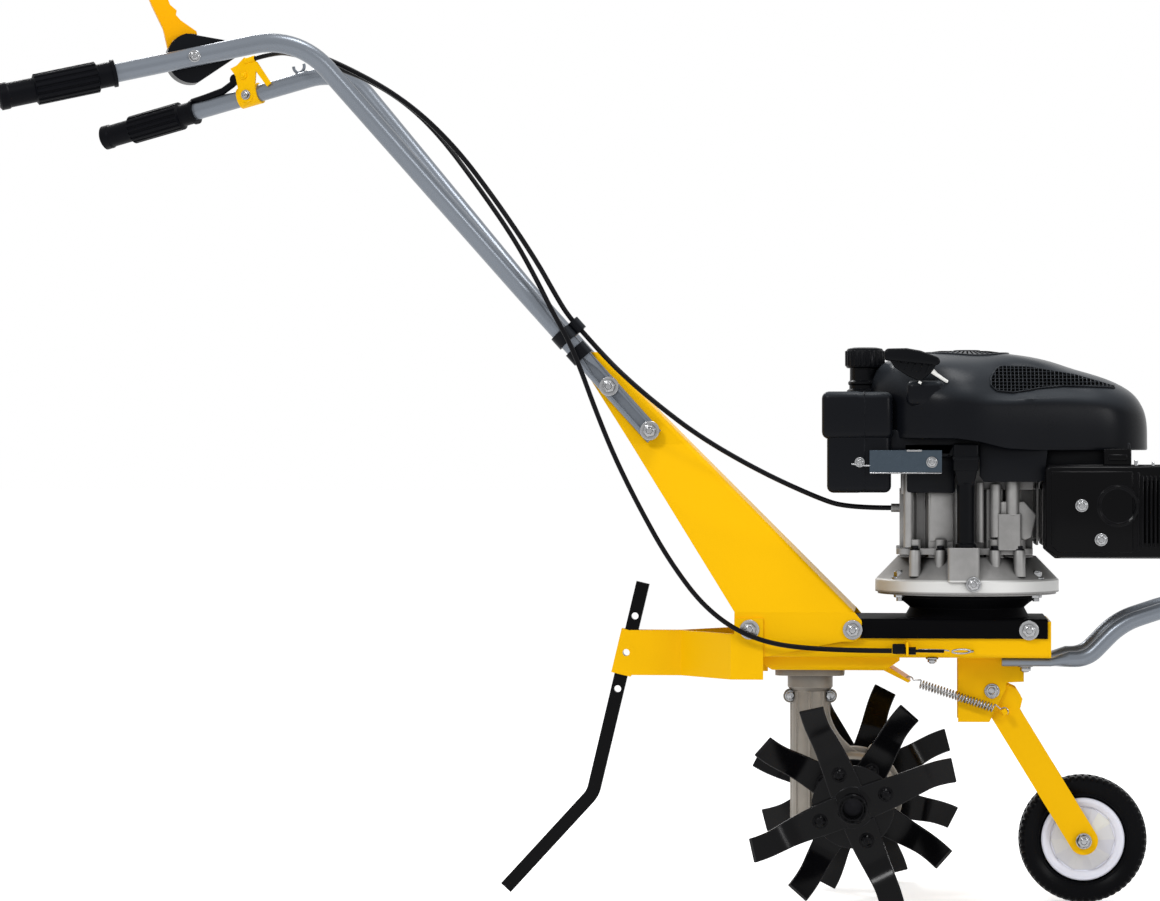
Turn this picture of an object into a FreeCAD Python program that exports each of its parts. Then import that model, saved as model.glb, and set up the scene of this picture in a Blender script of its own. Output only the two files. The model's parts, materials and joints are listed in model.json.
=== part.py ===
"""Walk-behind garden tiller with a transport wheel, as a parametric assembly.

Frame: +X is the working direction, +Y the operator's left, +Z up, and the ground is Z = 0.
While it is modelled, X = 0 is the tine axle.  At the end every node is moved by origin_shift,
so that the origin lies on the ground under the middle of the machine.
"""
import FreeCAD, Part
import math
import os
import re
import Sketcher

VALUES = {
    # chassis tray, a channel closed in front, and the deck that covers it
    "tray_rear": -128, "tray_length": 359, "tray_bottom": 294, "tray_height": 43, "tray_half": 79,
    "sheet_wall": 3, "sheet_bend": 6, "deck_length": 355, "deck_wall": 3, "deck_flange": 23,
    "deck_bend": 5,
    # spool on the deck that carries the engine
    "pedestal_rise": 27.5, "pedestal_foot": 74, "pedestal_waist": 68, "pedestal_head": 87,
    "pedestal_rim": 6,
    # belt cover under the tray, with the tongue that anchors the wheel's spring
    "cover_rear": -114, "cover_front": 54, "cover_depth": 16, "cover_half": 65, "cover_slant": 18,
    "tongue_reach": 34, "tongue_drop": 15, "tongue_half": 50,
    # reduction gearbox on its leg
    "worm_behind": 52.6, "worm_tube": 22.5, "leg_flange_half": 41, "leg_flange": 8, "leg_corner": 12,
    "leg_neck": 27, "leg_neck_depth": 20, "leg_ears": 8, "leg_ear_drop": 26, "leg_rib": 3,
    "leg_ribs": 8, "worm_below": 34, "case_radius": 52, "case_half": 26, "case_rim": 58,
    "case_rim_half": 7, "case_round": 10, "case_lugs": 7, "case_lug_radius": 7, "boss_radius": 25,
    "boss_half": 36, "gusset_wall": 16, "gusset_arc": 70,
    # tine rotor
    "shaft_radius": 11, "shaft_half": 160, "hub_radius": 15, "hub_inner": 42, "hub_outer": 190,
    "running_gap": 0.08, "socket_radius": 12, "socket_depth": 25, "hub_flange": 54,
    "hub_flange_wall": 4, "tine_wall": 5, "inner_set": 75, "outer_set": 165, "blade_count": 4,
    "blade_root": 19, "blade_reach": 131, "blade_bend_start": 75, "blade_bend": 40, "blade_angle": 40,
    # transport wheel
    "wheel_ahead": 271, "wheel_radius": 76, "tyre_width": 38, "rim_radius": 49, "tyre_shoulder": 8,
    "hub_web": 6, "hub_boss": 15, "hub_width": 46, "rim_wall": 3, "rim_lip": 3, "hub_ribs": 8,
    "hub_rib": 3, "axle_radius": 5, "axle_head": 9.5, "axle_head_wall": 6,
    # folding arm of the wheel, its bracket and its spring
    "pivot_ahead": 163, "pivot_height": 253, "pivot_radius": 4, "pivot_head": 7.4, "pivot_head_wall": 5,
    "arm_width": 34, "arm_wall": 4, "arm_half": 32, "arm_web_from": 42, "arm_web_to": 112,
    "arm_hump": 9, "bracket_gap": 1.5, "bracket_wall": 3, "bracket_rear": 123, "bracket_front": 200.6,
    "bracket_foot": 216, "tab_reach": 30.6, "tab_size": 6, "tab_out": 17, "spring_radius": 5,
    "spring_hook": 6,
    # front carry bumper
    "bumper_radius": 9.5, "bumper_side": 58, "bumper_flat": 10, "bumper_flat_length": 57,
    "bumper_neck": 22, "foot_front": 9.6, "foot_rear": -140, "foot_low": 294.5, "column_base": 347.5,
    "foot_half": 85, "column_knee": 545, "column_top": 655, "column_half": 40, "column_foot_x": 1.3,
    "column_top_front": -303, "column_top_rear": -334, "column_round": 8,
    # handlebars and grips
    "bar_radius": 11, "bar_bend": 90, "pressed_length": 140, "pressed_flat": 12, "pressed_neck": 30,
    "groove_half": 5, "groove_depth": 8, "groove_start": 9, "groove_arch": 104, "groove_length": 130,
    "grip_length": 133, "grip_start": 40, "grip_body": 18, "grip_neck": 14.3, "grip_knob": 15.5,
    "grip_flange": 16, "flutes": 16, "flute_radius": 1.7,
    # controls
    "throttle_along": 124, "housing_radius": 29, "housing_tail": 53, "housing_depth": 28,
    "gland_radius": 6, "gland_length": 6, "lever_wall": 7, "clutch_along": 136, "clamp_wall": 2.5,
    "clamp_width": 28, "clip_width": 16, "clip_along": 134, "clip_apart": 26, "clip_ear": 7.5,
    "clip_ear_out": 20, "ferrule_radius": 4, "ferrule_length": 14, "lever_radius": 4.5,
    "cable_radius": 3,
    # depth bar and its bracket
    "stake_width": 16, "stake_wall": 10, "stake_hole": 4.2, "stake_pitch": 45, "stake_clearance": 1,
    "stake_bend": 30, "yoke_low": 268, "yoke_height": 54, "yoke_wall": 3, "yoke_half": 88,
    "yoke_ear": 34, "yoke_ear_height": 40,
    # engine
    "engine_ahead": 134, "mount_flange": 109, "mount_wall": 14, "gasket_wall": 2.5, "skirt_radius": 82,
    "skirt_height": 28, "case_back": 80, "case_front": 76, "case_side": 75, "joint_height": 419,
    "joint_wall": 7, "joint_lip": 4, "case_top": 492, "boss_size": 7, "head_front": 300,
    "head_half": 54, "head_low": 426, "head_high": 500, "head_cover": 24, "fin_pitch": 7,
    "fin_wall": 2.5, "shroud_low": 538, "tank_half": 105, "tank_rear": -37, "tank_front": 46,
    "tank_low": 485, "tank_top": 607, "tank_step": 6, "cap_radius": 22, "cap_height": 21,
    "neck_radius": 16, "filler_radius": 10.5, "filler_side": 98, "filler_seat": 40, "filler_top": 486,
    "muffler_rear": 227, "muffler_front": 368, "muffler_low": 413, "muffler_high": 520,
    "muffler_side": 115, "stop_side": 57, "stop_height": 470, "tank_seam": 12, "cap_ahead": 13,
    "cap_side": 26, "pull_side": 112, "pull_wall": 18, "pull_low": 617, "fins": 12, "adjuster_rear": 45,
    "adjuster_length": 26, "rod_length": 66, "rod_radius": 2.5, "adjuster_side": 92,
    "adjuster_height": 303,
    # set by the script: axle height from the tines, shift from the machine's length
    "axle_height": 124, "origin_shift": 0,
}

DERIVED = {
    "tray_front": "tray_rear + tray_length",
    "deck_under": "tray_bottom + tray_height",
    "deck_top": "deck_under + deck_wall",
    "pedestal_top": "deck_top + pedestal_rise",
    "cover_low": "tray_bottom - cover_depth",
    "tongue_low": "cover_low - tongue_drop",
    "leg_top": "cover_low - leg_flange",
    "arm_length": "sqrt((wheel_ahead - pivot_ahead)^2 + (pivot_height - wheel_radius)^2)",
    "arm_tilt": "atan2(pivot_height - wheel_radius; wheel_ahead - pivot_ahead)",
    "arm_inner": "arm_half - arm_wall",
    "bracket_inner": "arm_half + bracket_gap",
    "bracket_half": "bracket_inner + bracket_wall",
    "flange_low": "pedestal_top + gasket_wall",
    "flange_high": "flange_low + mount_wall",
    "skirt_top": "flange_high + skirt_height",
    "stake_gap": "stake_wall / 2 + stake_clearance",
}

doc = FreeCAD.newDocument("GardenTiller")
sizes = doc.addObject("Spreadsheet::Sheet", "Sizes")
NODES = []
WORD = re.compile(r"\b[a-z]\w*\b")


def fill_sheet():
    """One row for each driving size: its name and its value, with the name as the cell's alias."""
    for row, (alias, value) in enumerate(VALUES.items(), start=1):
        sizes.set("A%d" % row, alias)
        sizes.set("B%d" % row, str(value))
        sizes.setAlias("B%d" % row, alias)
    doc.recompute()


def bound(text):
    """A formula on the sheet: named sizes become cells, derived sizes their own formulas."""
    def cell(word):
        name = word[0]
        if name in VALUES:
            return "Sizes." + name
        if name in DERIVED:
            return "(" + bound(DERIVED[name]) + ")"
        return name
    return WORD.sub(cell, str(text))


def val(text):
    """The number that a formula gives now."""
    result = sizes.evalExpression(bound(text))
    return float(getattr(result, "Value", result))


def vec(x, y, z):
    return FreeCAD.Vector(val(x), val(y), val(z))


def count_of(alias):
    """A whole number from the sheet."""
    return int(round(val(alias)))


# ---------------------------------------------------------------- sketches and features

def new_body(label, x="0", y="0", z="0", turn=None):
    """A PartDesign body that is a node, placed in the axle frame and tilted about Y by turn."""
    body = doc.addObject("PartDesign::Body", label)
    place(body, x, y, z, turn)
    return body


def place(node, x="0", y="0", z="0", turn=None):
    """Adds the node to the list and ties its place to the sheet."""
    if turn is not None:
        node.Placement.Rotation = FreeCAD.Rotation(FreeCAD.Vector(0, 1, 0), 10)
        node.setExpression("Placement.Rotation.Angle", bound(turn))
    node.setExpression("Placement.Base.x", bound("origin_shift + " + x))
    node.setExpression("Placement.Base.y", bound(y))
    node.setExpression("Placement.Base.z", bound(z))
    NODES.append(node)


def origin_item(body, role):
    """One of the body's own planes or axes, found by its role."""
    return next(item for item in body.Origin.OriginFeatures if item.Role == role)


def new_sketch(body, plane, offset="0", across="0", up="0"):
    """An empty sketch on one of the body's planes, moved along its normal and in its plane."""
    sketch = body.newObject("Sketcher::SketchObject", body.Name + "_sketch")
    sketch.AttachmentSupport = (origin_item(body, plane + "_Plane"), [""])
    sketch.MapMode = "FlatFace"
    sketch.setExpression("AttachmentOffset.Base.x", bound(across))
    sketch.setExpression("AttachmentOffset.Base.y", bound(up))
    sketch.setExpression("AttachmentOffset.Base.z", bound(offset))
    return sketch


def locate(sketch, geometry, point, across, up):
    """Holds one point of the sketch at two formulas, measured from the origin."""
    for kind, text in (("DistanceX", across), ("DistanceY", up)):
        number = sketch.addConstraint(Sketcher.Constraint(kind, -1, 1, geometry, point, val(text)))
        sketch.setExpression("Constraints[%d]" % number, bound(text))


def bulge(here, there, radius):
    """Middle of the arc from here to there; a positive radius turns left, a negative one right."""
    chord = there - here
    half = chord.Length / 2
    left = FreeCAD.Vector(-chord.y, chord.x, 0).normalize()
    sag = abs(radius) - math.sqrt(radius * radius - half * half)
    return (here + there) * 0.5 - left * math.copysign(sag, radius)


def outline(sketch, corners):
    """A closed outline; a corner is (across, up) or (across, up, radius of the side that follows)."""
    first = sketch.GeometryCount
    count = len(corners)
    points = [FreeCAD.Vector(val(corner[0]), val(corner[1]), 0) for corner in corners]
    ends = []
    for index, corner in enumerate(corners):
        here = points[index]
        there = points[(index + 1) % count]
        if len(corner) == 2:
            sketch.addGeometry(Part.LineSegment(here, there), False)
            ends.append((1, 2))
            continue
        radius = val(corner[2])
        sketch.addGeometry(Part.Arc(here, bulge(here, there, radius), there), False)
        ends.append((1, 2) if radius > 0 else (2, 1))
    for index in range(count):
        following = (index + 1) % count
        sketch.addConstraint(Sketcher.Constraint(
            "Coincident", first + index, ends[index][1], first + following, ends[following][0]))
    for index, corner in enumerate(corners):
        locate(sketch, first + index, ends[index][0], corner[0], corner[1])
        if len(corner) == 3:
            size = val(corner[2])
            number = sketch.addConstraint(Sketcher.Constraint("Radius", first + index, abs(size)))
            sketch.setExpression("Constraints[%d]" % number, bound("abs(%s)" % corner[2]))
    return sketch


def rectangle(sketch, left, low, right, high, corner=None):
    """An upright rectangle, with its corners rounded where a radius is given."""
    if corner is None:
        return outline(sketch, [(left, low), (right, low), (right, high), (left, high)])
    return outline(sketch, [
        (left + " + " + corner, low), (right + " - " + corner, low, corner),
        (right, low + " + " + corner), (right, high + " - " + corner, corner),
        (right + " - " + corner, high), (left + " + " + corner, high, corner),
        (left, high + " - " + corner), (left, low + " + " + corner, corner)])


def circle(sketch, across, up, radius):
    """A whole circle in the sketch."""
    centre = FreeCAD.Vector(val(across), val(up), 0)
    index = sketch.addGeometry(Part.Circle(centre, FreeCAD.Vector(0, 0, 1), val(radius)), False)
    locate(sketch, index, 3, across, up)
    number = sketch.addConstraint(Sketcher.Constraint("Radius", index, val(radius)))
    sketch.setExpression("Constraints[%d]" % number, bound(radius))
    return sketch


def pad(body, sketch, length, middle=False, backwards=False):
    """Extrudes a sketch along its normal, to both sides when middle is set."""
    feature = body.newObject("PartDesign::Pad", body.Name + "_pad")
    feature.Profile = sketch
    feature.setExpression("Length", bound(length))
    if middle:
        feature.SideType = "Symmetric"
    feature.Reversed = backwards
    doc.recompute()
    return feature


def pocket(body, sketch, length=None, middle=True, backwards=False):
    """Cuts a sketch out of the body, through all of it when no length is given."""
    before = body.Shape.Volume
    feature = body.newObject("PartDesign::Pocket", body.Name + "_pocket")
    feature.Profile = sketch
    if length is None:
        feature.Type = "ThroughAll"
    else:
        feature.setExpression("Length", bound(length))
    if middle:
        feature.SideType = "Symmetric"
    feature.Reversed = backwards
    doc.recompute()
    if body.Shape.Volume > before - 1:
        raise RuntimeError(feature.Label + " cuts nothing")
    return feature


def revolve(body, sketch, axis="H_Axis"):
    """Turns a sketch about one of its own axes."""
    feature = body.newObject("PartDesign::Revolution", body.Name + "_turned")
    feature.Profile = sketch
    feature.ReferenceAxis = (sketch, [axis])
    doc.recompute()
    return feature


def loft(body, sections, ruled=True):
    """Joins two or more outlines with the same corners."""
    feature = body.newObject("PartDesign::AdditiveLoft", body.Name + "_loft")
    feature.Profile = sections[0]
    feature.Sections = sections[1:]
    feature.Ruled = ruled
    doc.recompute()
    return feature


def pattern(body, features, axis, count, whole=False):
    """Repeats features about one of the body's axes."""
    feature = body.newObject("PartDesign::PolarPattern", body.Name + "_pattern")
    if whole:
        feature.TransformMode = "Whole shape"
    else:
        feature.Originals = features
    feature.Axis = (origin_item(body, axis + "_Axis"), [""])
    feature.Angle = 360
    feature.setExpression("Occurrences", bound(count))
    body.Tip = feature
    doc.recompute()
    return feature


def row(body, features, axis, length, count):
    """Repeats features along one of the body's axes."""
    feature = body.newObject("PartDesign::LinearPattern", body.Name + "_row")
    feature.Originals = features
    feature.Direction = (origin_item(body, axis + "_Axis"), [""])
    feature.setExpression("Length", bound(length))
    feature.setExpression("Occurrences", bound(count))
    body.Tip = feature
    doc.recompute()
    return feature


def fillet(body, radius, wanted, kind="Fillet"):
    """Rounds, or chamfers, the edges for which wanted(edge) is true."""
    base = body.Tip
    edges = enumerate(base.Shape.Edges, start=1)
    names = ["Edge%d" % number for number, edge in edges if wanted(edge)]
    feature = body.newObject("PartDesign::" + kind, body.Name + "_" + kind.lower())
    feature.Base = (base, names)
    feature.setExpression("Radius" if kind == "Fillet" else "Size", bound(radius))
    doc.recompute()
    return feature


def runs(edge, direction):
    """Whether an edge is straight and parallel to x, y or z."""
    if not isinstance(edge.Curve, Part.Line):
        return False
    return abs(abs(getattr(edge.Curve.Direction, direction)) - 1) < 1e-6


# ---------------------------------------------------------------- bent bars, tubes and cords

def rounded_path(points, radii):
    """A wire of straight runs joined by tangent arcs at the inner points."""
    edges = []
    start = points[0]
    for before, corner, after, radius in zip(points, points[1:], points[2:], radii):
        back = (before - corner).normalize()
        on = (after - corner).normalize()
        half = back.getAngle(on) / 2
        cut = radius / math.tan(half)
        centre = corner + (back + on).normalize() * (radius / math.sin(half))
        entry = corner + back * cut
        leave = corner + on * cut
        middle = centre + (corner - centre).normalize() * radius
        edges.append(Part.LineSegment(start, entry).toShape())
        edges.append(Part.Arc(entry, middle, leave).toShape())
        start = leave
    edges.append(Part.LineSegment(start, points[-1]).toShape())
    return Part.Wire(edges)


def swept(path, profile):
    """A solid of one closed profile carried along a path."""
    return path.makePipeShell([profile], True, False)


def ring(centre, direction, radius):
    return Part.Wire([Part.Circle(centre, direction, radius).toShape()])


def obround(centre, wide, thin, half_wide, half_thin):
    """A flattened ring: wide and thin are its unit directions, with half of each size."""
    run = wide * (half_wide - half_thin)
    flat = thin * half_thin
    corners = (centre + run - flat, centre - run - flat, centre - run + flat, centre + run + flat)
    return Part.Wire([
        Part.LineSegment(corners[0], corners[1]).toShape(),
        Part.Arc(corners[1], centre - wide * half_wide, corners[2]).toShape(),
        Part.LineSegment(corners[2], corners[3]).toShape(),
        Part.Arc(corners[3], centre + wide * half_wide, corners[0]).toShape()])


def tube_solid(points, radii, radius):
    """A round bar or cord along a rounded path."""
    path = rounded_path(points, radii)
    return swept(path, ring(points[0], points[1] - points[0], radius))


def block(low, high):
    """A box between two corners."""
    size = high - low
    return Part.makeBox(size.x, size.y, size.z, low)


def shaped(label, shape):
    """A node whose shape is worked out here, already in the axle frame."""
    node = doc.addObject("Part::Feature", label)
    node.Shape = shape
    place(node)
    return node


# ---------------------------------------------------------------- chassis

def chassis_tray():
    """Channel of folded sheet with a closed front, under the deck: it carries everything else."""
    body = new_body("chassis_tray", x="tray_rear")
    low = val("tray_bottom")
    inner = "tray_half - sheet_wall"
    rectangle(new_sketch(body, "YZ"), "-tray_half", "tray_bottom", "tray_half", "deck_under")
    pad(body, body.Group[-1], "tray_length")
    fillet(body, "sheet_bend", lambda edge: runs(edge, "x") and edge.BoundBox.ZMax < low + 0.1)
    rectangle(new_sketch(body, "YZ"), "0 - (%s)" % inner, "tray_bottom + sheet_wall", inner,
              "deck_under + sheet_wall", "(sheet_bend - sheet_wall)")
    pocket(body, body.Group[-1], "tray_length - sheet_wall", middle=False, backwards=True)


def engine_deck():
    """Black cover plate with turned-down sides and the spool that seats the engine."""
    body = new_body("engine_deck", x="tray_rear")
    outside = "tray_half + deck_wall"
    under = "deck_top - deck_flange"
    outline(new_sketch(body, "YZ"), [
        ("0 - (%s)" % outside, under), ("-tray_half", under), ("-tray_half", "deck_under"),
        ("tray_half", "deck_under"), ("tray_half", under), (outside, under),
        (outside, "deck_top - deck_bend", "deck_bend"), (outside + " - deck_bend", "deck_top"),
        ("deck_bend - (%s)" % outside, "deck_top", "deck_bend"),
        ("0 - (%s)" % outside, "deck_top - deck_bend")])
    pad(body, body.Group[-1], "deck_length")
    spool = new_sketch(body, "XZ", across="engine_ahead - tray_rear")
    waist = "deck_top + 0.4 * pedestal_rise"
    outline(spool, [
        ("0", "deck_top"), ("pedestal_foot", "deck_top"),
        ("pedestal_waist", waist, "-1.6 * pedestal_rise"),
        ("pedestal_head - 4", "pedestal_top - pedestal_rim"),
        ("pedestal_head", "pedestal_top - pedestal_rim + 2"),
        ("pedestal_head", "pedestal_top"), ("0", "pedestal_top")])
    revolve(body, spool, "V_Axis")


def gearbox_plate():
    """Shallow cover under the tray, with a tongue in front that holds the spring."""
    body = new_body("gearbox_plate")
    side = new_sketch(body, "XZ")
    outline(side, [
        ("cover_rear", "tray_bottom"), ("cover_rear", "tray_bottom - 4"),
        ("cover_rear + cover_slant", "cover_low"), ("cover_front - cover_slant", "cover_low"),
        ("cover_front", "tray_bottom - 4"), ("cover_front", "tray_bottom")])
    pad(body, side, "2 * cover_half", middle=True)
    low = val("cover_low")
    fillet(body, "sheet_bend", lambda edge: runs(edge, "x") and edge.BoundBox.ZMax < low + 0.1)
    outline(new_sketch(body, "XZ"), [
        ("cover_front - cover_slant - 2", "cover_low"), ("cover_front + tongue_reach - 24", "tongue_low"),
        ("cover_front + tongue_reach - 21", "tongue_low + 2"),
        ("cover_front - cover_slant + 3", "cover_low + sheet_wall + 2")])
    pad(body, body.Group[-1], "2 * tongue_half", middle=True)


# ---------------------------------------------------------------- gearbox and tine rotor

def gearbox_housing():
    """Cast leg: square flange, ribbed worm tube and the lugged case on the tine axle."""
    body = new_body("gearbox_housing", x="0 - worm_behind")
    neck = "(leg_top - leg_neck_depth)"
    foot = "(axle_height - worm_below)"
    outline(new_sketch(body, "XZ"), [
        ("0", foot), ("worm_tube - 4", foot), ("worm_tube", foot + " + 4"),
        ("worm_tube", neck), ("leg_neck", neck + " + 5"), ("leg_neck", "leg_top"), ("0", "leg_top")])
    revolve(body, body.Group[-1], "V_Axis")
    rectangle(new_sketch(body, "XY", "leg_top"), "-leg_flange_half", "-leg_flange_half",
              "leg_flange_half", "leg_flange_half", "leg_corner")
    pad(body, body.Group[-1], "leg_flange")
    circle(new_sketch(body, "XY", foot + " + 6"), "worm_tube", "0", "leg_rib / 2")
    rib = pad(body, body.Group[-1], neck + " - %s - 6" % foot)
    pattern(body, [rib], "Z", "leg_ribs")
    ears = new_sketch(body, "XZ", up="leg_top - leg_ear_drop")
    circle(ears, "leg_neck - 3", "0", "leg_ears")
    circle(ears, "3 - leg_neck", "0", "leg_ears")
    pad(body, ears, "2 * leg_ears", middle=True)
    case = new_sketch(body, "YZ", "worm_behind", up="axle_height")
    outline(case, [
        ("-boss_half", "0"), ("-boss_half", "boss_radius"), ("-case_half", "boss_radius"),
        ("-case_half", "case_radius - case_round", "-case_round"), ("case_round - case_half", "case_radius"),
        ("-case_rim_half", "case_radius"), ("-case_rim_half", "case_rim"), ("case_rim_half", "case_rim"),
        ("case_rim_half", "case_radius"), ("case_half - case_round", "case_radius", "-case_round"),
        ("case_half", "case_radius - case_round"), ("case_half", "boss_radius"),
        ("boss_half", "boss_radius"), ("boss_half", "0")])
    revolve(body, case)
    lugs = new_sketch(body, "XZ", across="worm_behind", up="axle_height")
    for number in range(count_of("case_lugs")):
        turn = "(15 + 360 / case_lugs * %d)" % number
        circle(lugs, "case_rim * cos%s" % turn, "case_rim * sin%s" % turn, "case_lug_radius")
    pad(body, lugs, "3 * case_rim_half", middle=True)
    reach = "worm_behind + 0.3 * case_radius"
    outline(new_sketch(body, "XZ"), [
        ("0", "axle_height"), (reach, "axle_height"),
        (reach, "axle_height + 0.9 * case_radius", "-gusset_arc"), ("worm_tube", neck), ("0", neck)])
    pad(body, body.Group[-1], "gusset_wall", middle=True)
    circle(new_sketch(body, "XZ", across="worm_behind", up="axle_height"), "0", "0",
           "shaft_radius + running_gap")
    pocket(body, body.Group[-1])


def tine_set(label, side, distance, phase):
    """Four sickle blades crossed in one plane on a flange, bent outwards; side is -1 right, 1 left."""
    body = new_body(label, y="%d * %s" % (side, distance), z="axle_height", turn=phase)
    shift = "blade_bend * (1 - cos(blade_angle))"
    rise = "blade_bend_start + blade_bend * sin(blade_angle)"
    back_shift = "((blade_bend + tine_wall) * (1 - cos(blade_angle)) - tine_wall)"
    back_rise = "blade_bend_start + (blade_bend + tine_wall) * sin(blade_angle)"
    tail = "(blade_reach + 10 - blade_bend_start - blade_bend * sin(blade_angle))"
    outline(new_sketch(body, "YZ"), [
        ("0", "0"),
        ("0", "blade_bend_start", "%d * blade_bend" % -side),
        ("%d * %s" % (side, shift), rise),
        ("%d * (%s + %s * tan(blade_angle))" % (side, shift, tail), "%s + %s" % (rise, tail)),
        ("%d * (%s + %s * tan(blade_angle))" % (side, back_shift, tail), "%s + %s" % (back_rise, tail)),
        ("%d * %s" % (side, back_shift), back_rise, "%d * (blade_bend + tine_wall)" % side),
        ("%d * (0 - tine_wall)" % side, "blade_bend_start"),
        ("%d * (0 - tine_wall)" % side, "0")])
    pad(body, body.Group[-1], "2 * blade_reach", middle=True)
    trim = new_sketch(body, "XZ")
    edge = "(1.5 * blade_reach)"
    rectangle(trim, "0 - " + edge, "0 - " + edge, edge, edge)
    outline(trim, [
        ("-blade_root", "-2"), ("blade_root", "-2"), ("blade_root", "0.2 * blade_reach"),
        ("blade_root - 5", "0.36 * blade_reach", "-1.1 * blade_reach"),
        ("0.17 * blade_reach", "0.985 * blade_reach"),
        ("-0.055 * blade_reach", "0.86 * blade_reach", "0.95 * blade_reach"),
        ("-blade_root", "0.3 * blade_reach")])
    pocket(body, trim)
    pattern(body, [], "Y", "blade_count", whole=True)
    circle(new_sketch(body, "XZ", "%d * tine_wall" % side), "0", "0", "hub_flange")
    pad(body, body.Group[-1], "hub_flange_wall", backwards=side < 0)
    circle(new_sketch(body, "XZ"), "0", "0", "hub_radius + running_gap")
    pocket(body, body.Group[-1])
    return body


def tine_hub(label, side):
    """Tube that slides on the shaft and carries two tine sets; its outer end is open."""
    body = new_body(label, z="axle_height")
    near = "%d * " % -side
    circle(circle(new_sketch(body, "XZ", near + "hub_inner"), "0", "0", "hub_radius"),
           "0", "0", "shaft_radius + running_gap")
    pad(body, body.Group[-1], "hub_outer - hub_inner", backwards=side > 0)
    circle(new_sketch(body, "XZ", near + "hub_outer"), "0", "0", "socket_radius")
    pocket(body, body.Group[-1], "socket_depth", middle=False, backwards=side > 0)


def tine_shaft():
    """Round output shaft of the gearbox."""
    shaft = doc.addObject("Part::Cylinder", "tine_shaft")
    shaft.setExpression("Radius", bound("shaft_radius"))
    shaft.setExpression("Height", bound("2 * shaft_half"))
    shaft.Placement.Rotation = FreeCAD.Rotation(FreeCAD.Vector(1, 0, 0), -90)
    place(shaft, y="-shaft_half", z="axle_height")


# ---------------------------------------------------------------- transport wheel and its arm

def wheel_tyre():
    """Solid rubber tyre with rounded shoulders on the rim."""
    body = new_body("wheel_tyre", x="wheel_ahead", z="wheel_radius")
    half = "(tyre_width / 2)"
    outline(new_sketch(body, "YZ"), [
        ("0 - %s + 2" % half, "rim_radius"), ("%s - 2" % half, "rim_radius"),
        (half, "rim_radius + 4"), (half, "wheel_radius - tyre_shoulder", "tyre_shoulder"),
        ("%s - tyre_shoulder" % half, "wheel_radius"),
        ("tyre_shoulder - " + half, "wheel_radius", "tyre_shoulder"),
        ("0 - " + half, "wheel_radius - tyre_shoulder"), ("0 - " + half, "rim_radius + 4")])
    revolve(body, body.Group[-1])


def wheel_hub():
    """Moulded disc wheel: rim band, ribbed web and a boss for the axle."""
    body = new_body("wheel_hub", x="wheel_ahead", z="wheel_radius")
    rim = "(tyre_width / 2)"
    boss = "(hub_width / 2)"
    web = "(hub_web / 2)"
    outline(new_sketch(body, "YZ"), [
        ("0 - " + boss, "axle_radius + running_gap"), (boss, "axle_radius + running_gap"),
        (boss, "hub_boss"), (web, "hub_boss + 3"), (web, "rim_radius - rim_wall - 5"),
        ("%s - 3" % rim, "rim_radius - rim_wall"), (rim, "rim_radius - rim_wall"),
        (rim, "rim_radius + rim_lip - 1"), ("%s - 2" % rim, "rim_radius"),
        ("2 - " + rim, "rim_radius"), ("0 - " + rim, "rim_radius + rim_lip - 1"),
        ("0 - " + rim, "rim_radius - rim_wall"), ("3 - " + rim, "rim_radius - rim_wall"),
        ("0 - " + web, "rim_radius - rim_wall - 5"), ("0 - " + web, "hub_boss + 3"),
        ("0 - " + boss, "hub_boss")])
    revolve(body, body.Group[-1])
    rectangle(new_sketch(body, "XZ"), "hub_boss - 2", "0 - hub_rib / 2",
              "rim_radius - rim_wall - 2", "hub_rib / 2")
    rib = pad(body, body.Group[-1], "0.6 * tyre_width", middle=True)
    pattern(body, [rib], "Y", "hub_ribs")


def cross_bolt(label, x, z, radius, half, head, head_wall):
    """A bolt along Y with a hexagon head on the right and a nut on the left."""
    body = new_body(label, x=x, z=z)
    circle(new_sketch(body, "XZ"), "0", "0", radius)
    pad(body, body.Group[-1], "2 * (%s)" % half, middle=True)
    for side in (-1, 1):
        sketch = new_sketch(body, "XZ", "%d * (%s)" % (-side, half))
        outline(sketch, [("%s * cos(%d)" % (head, turn), "%s * sin(%d)" % (head, turn))
                         for turn in range(0, 360, 60)])
        pad(body, body.Group[-1], head_wall, backwards=side > 0)


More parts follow.
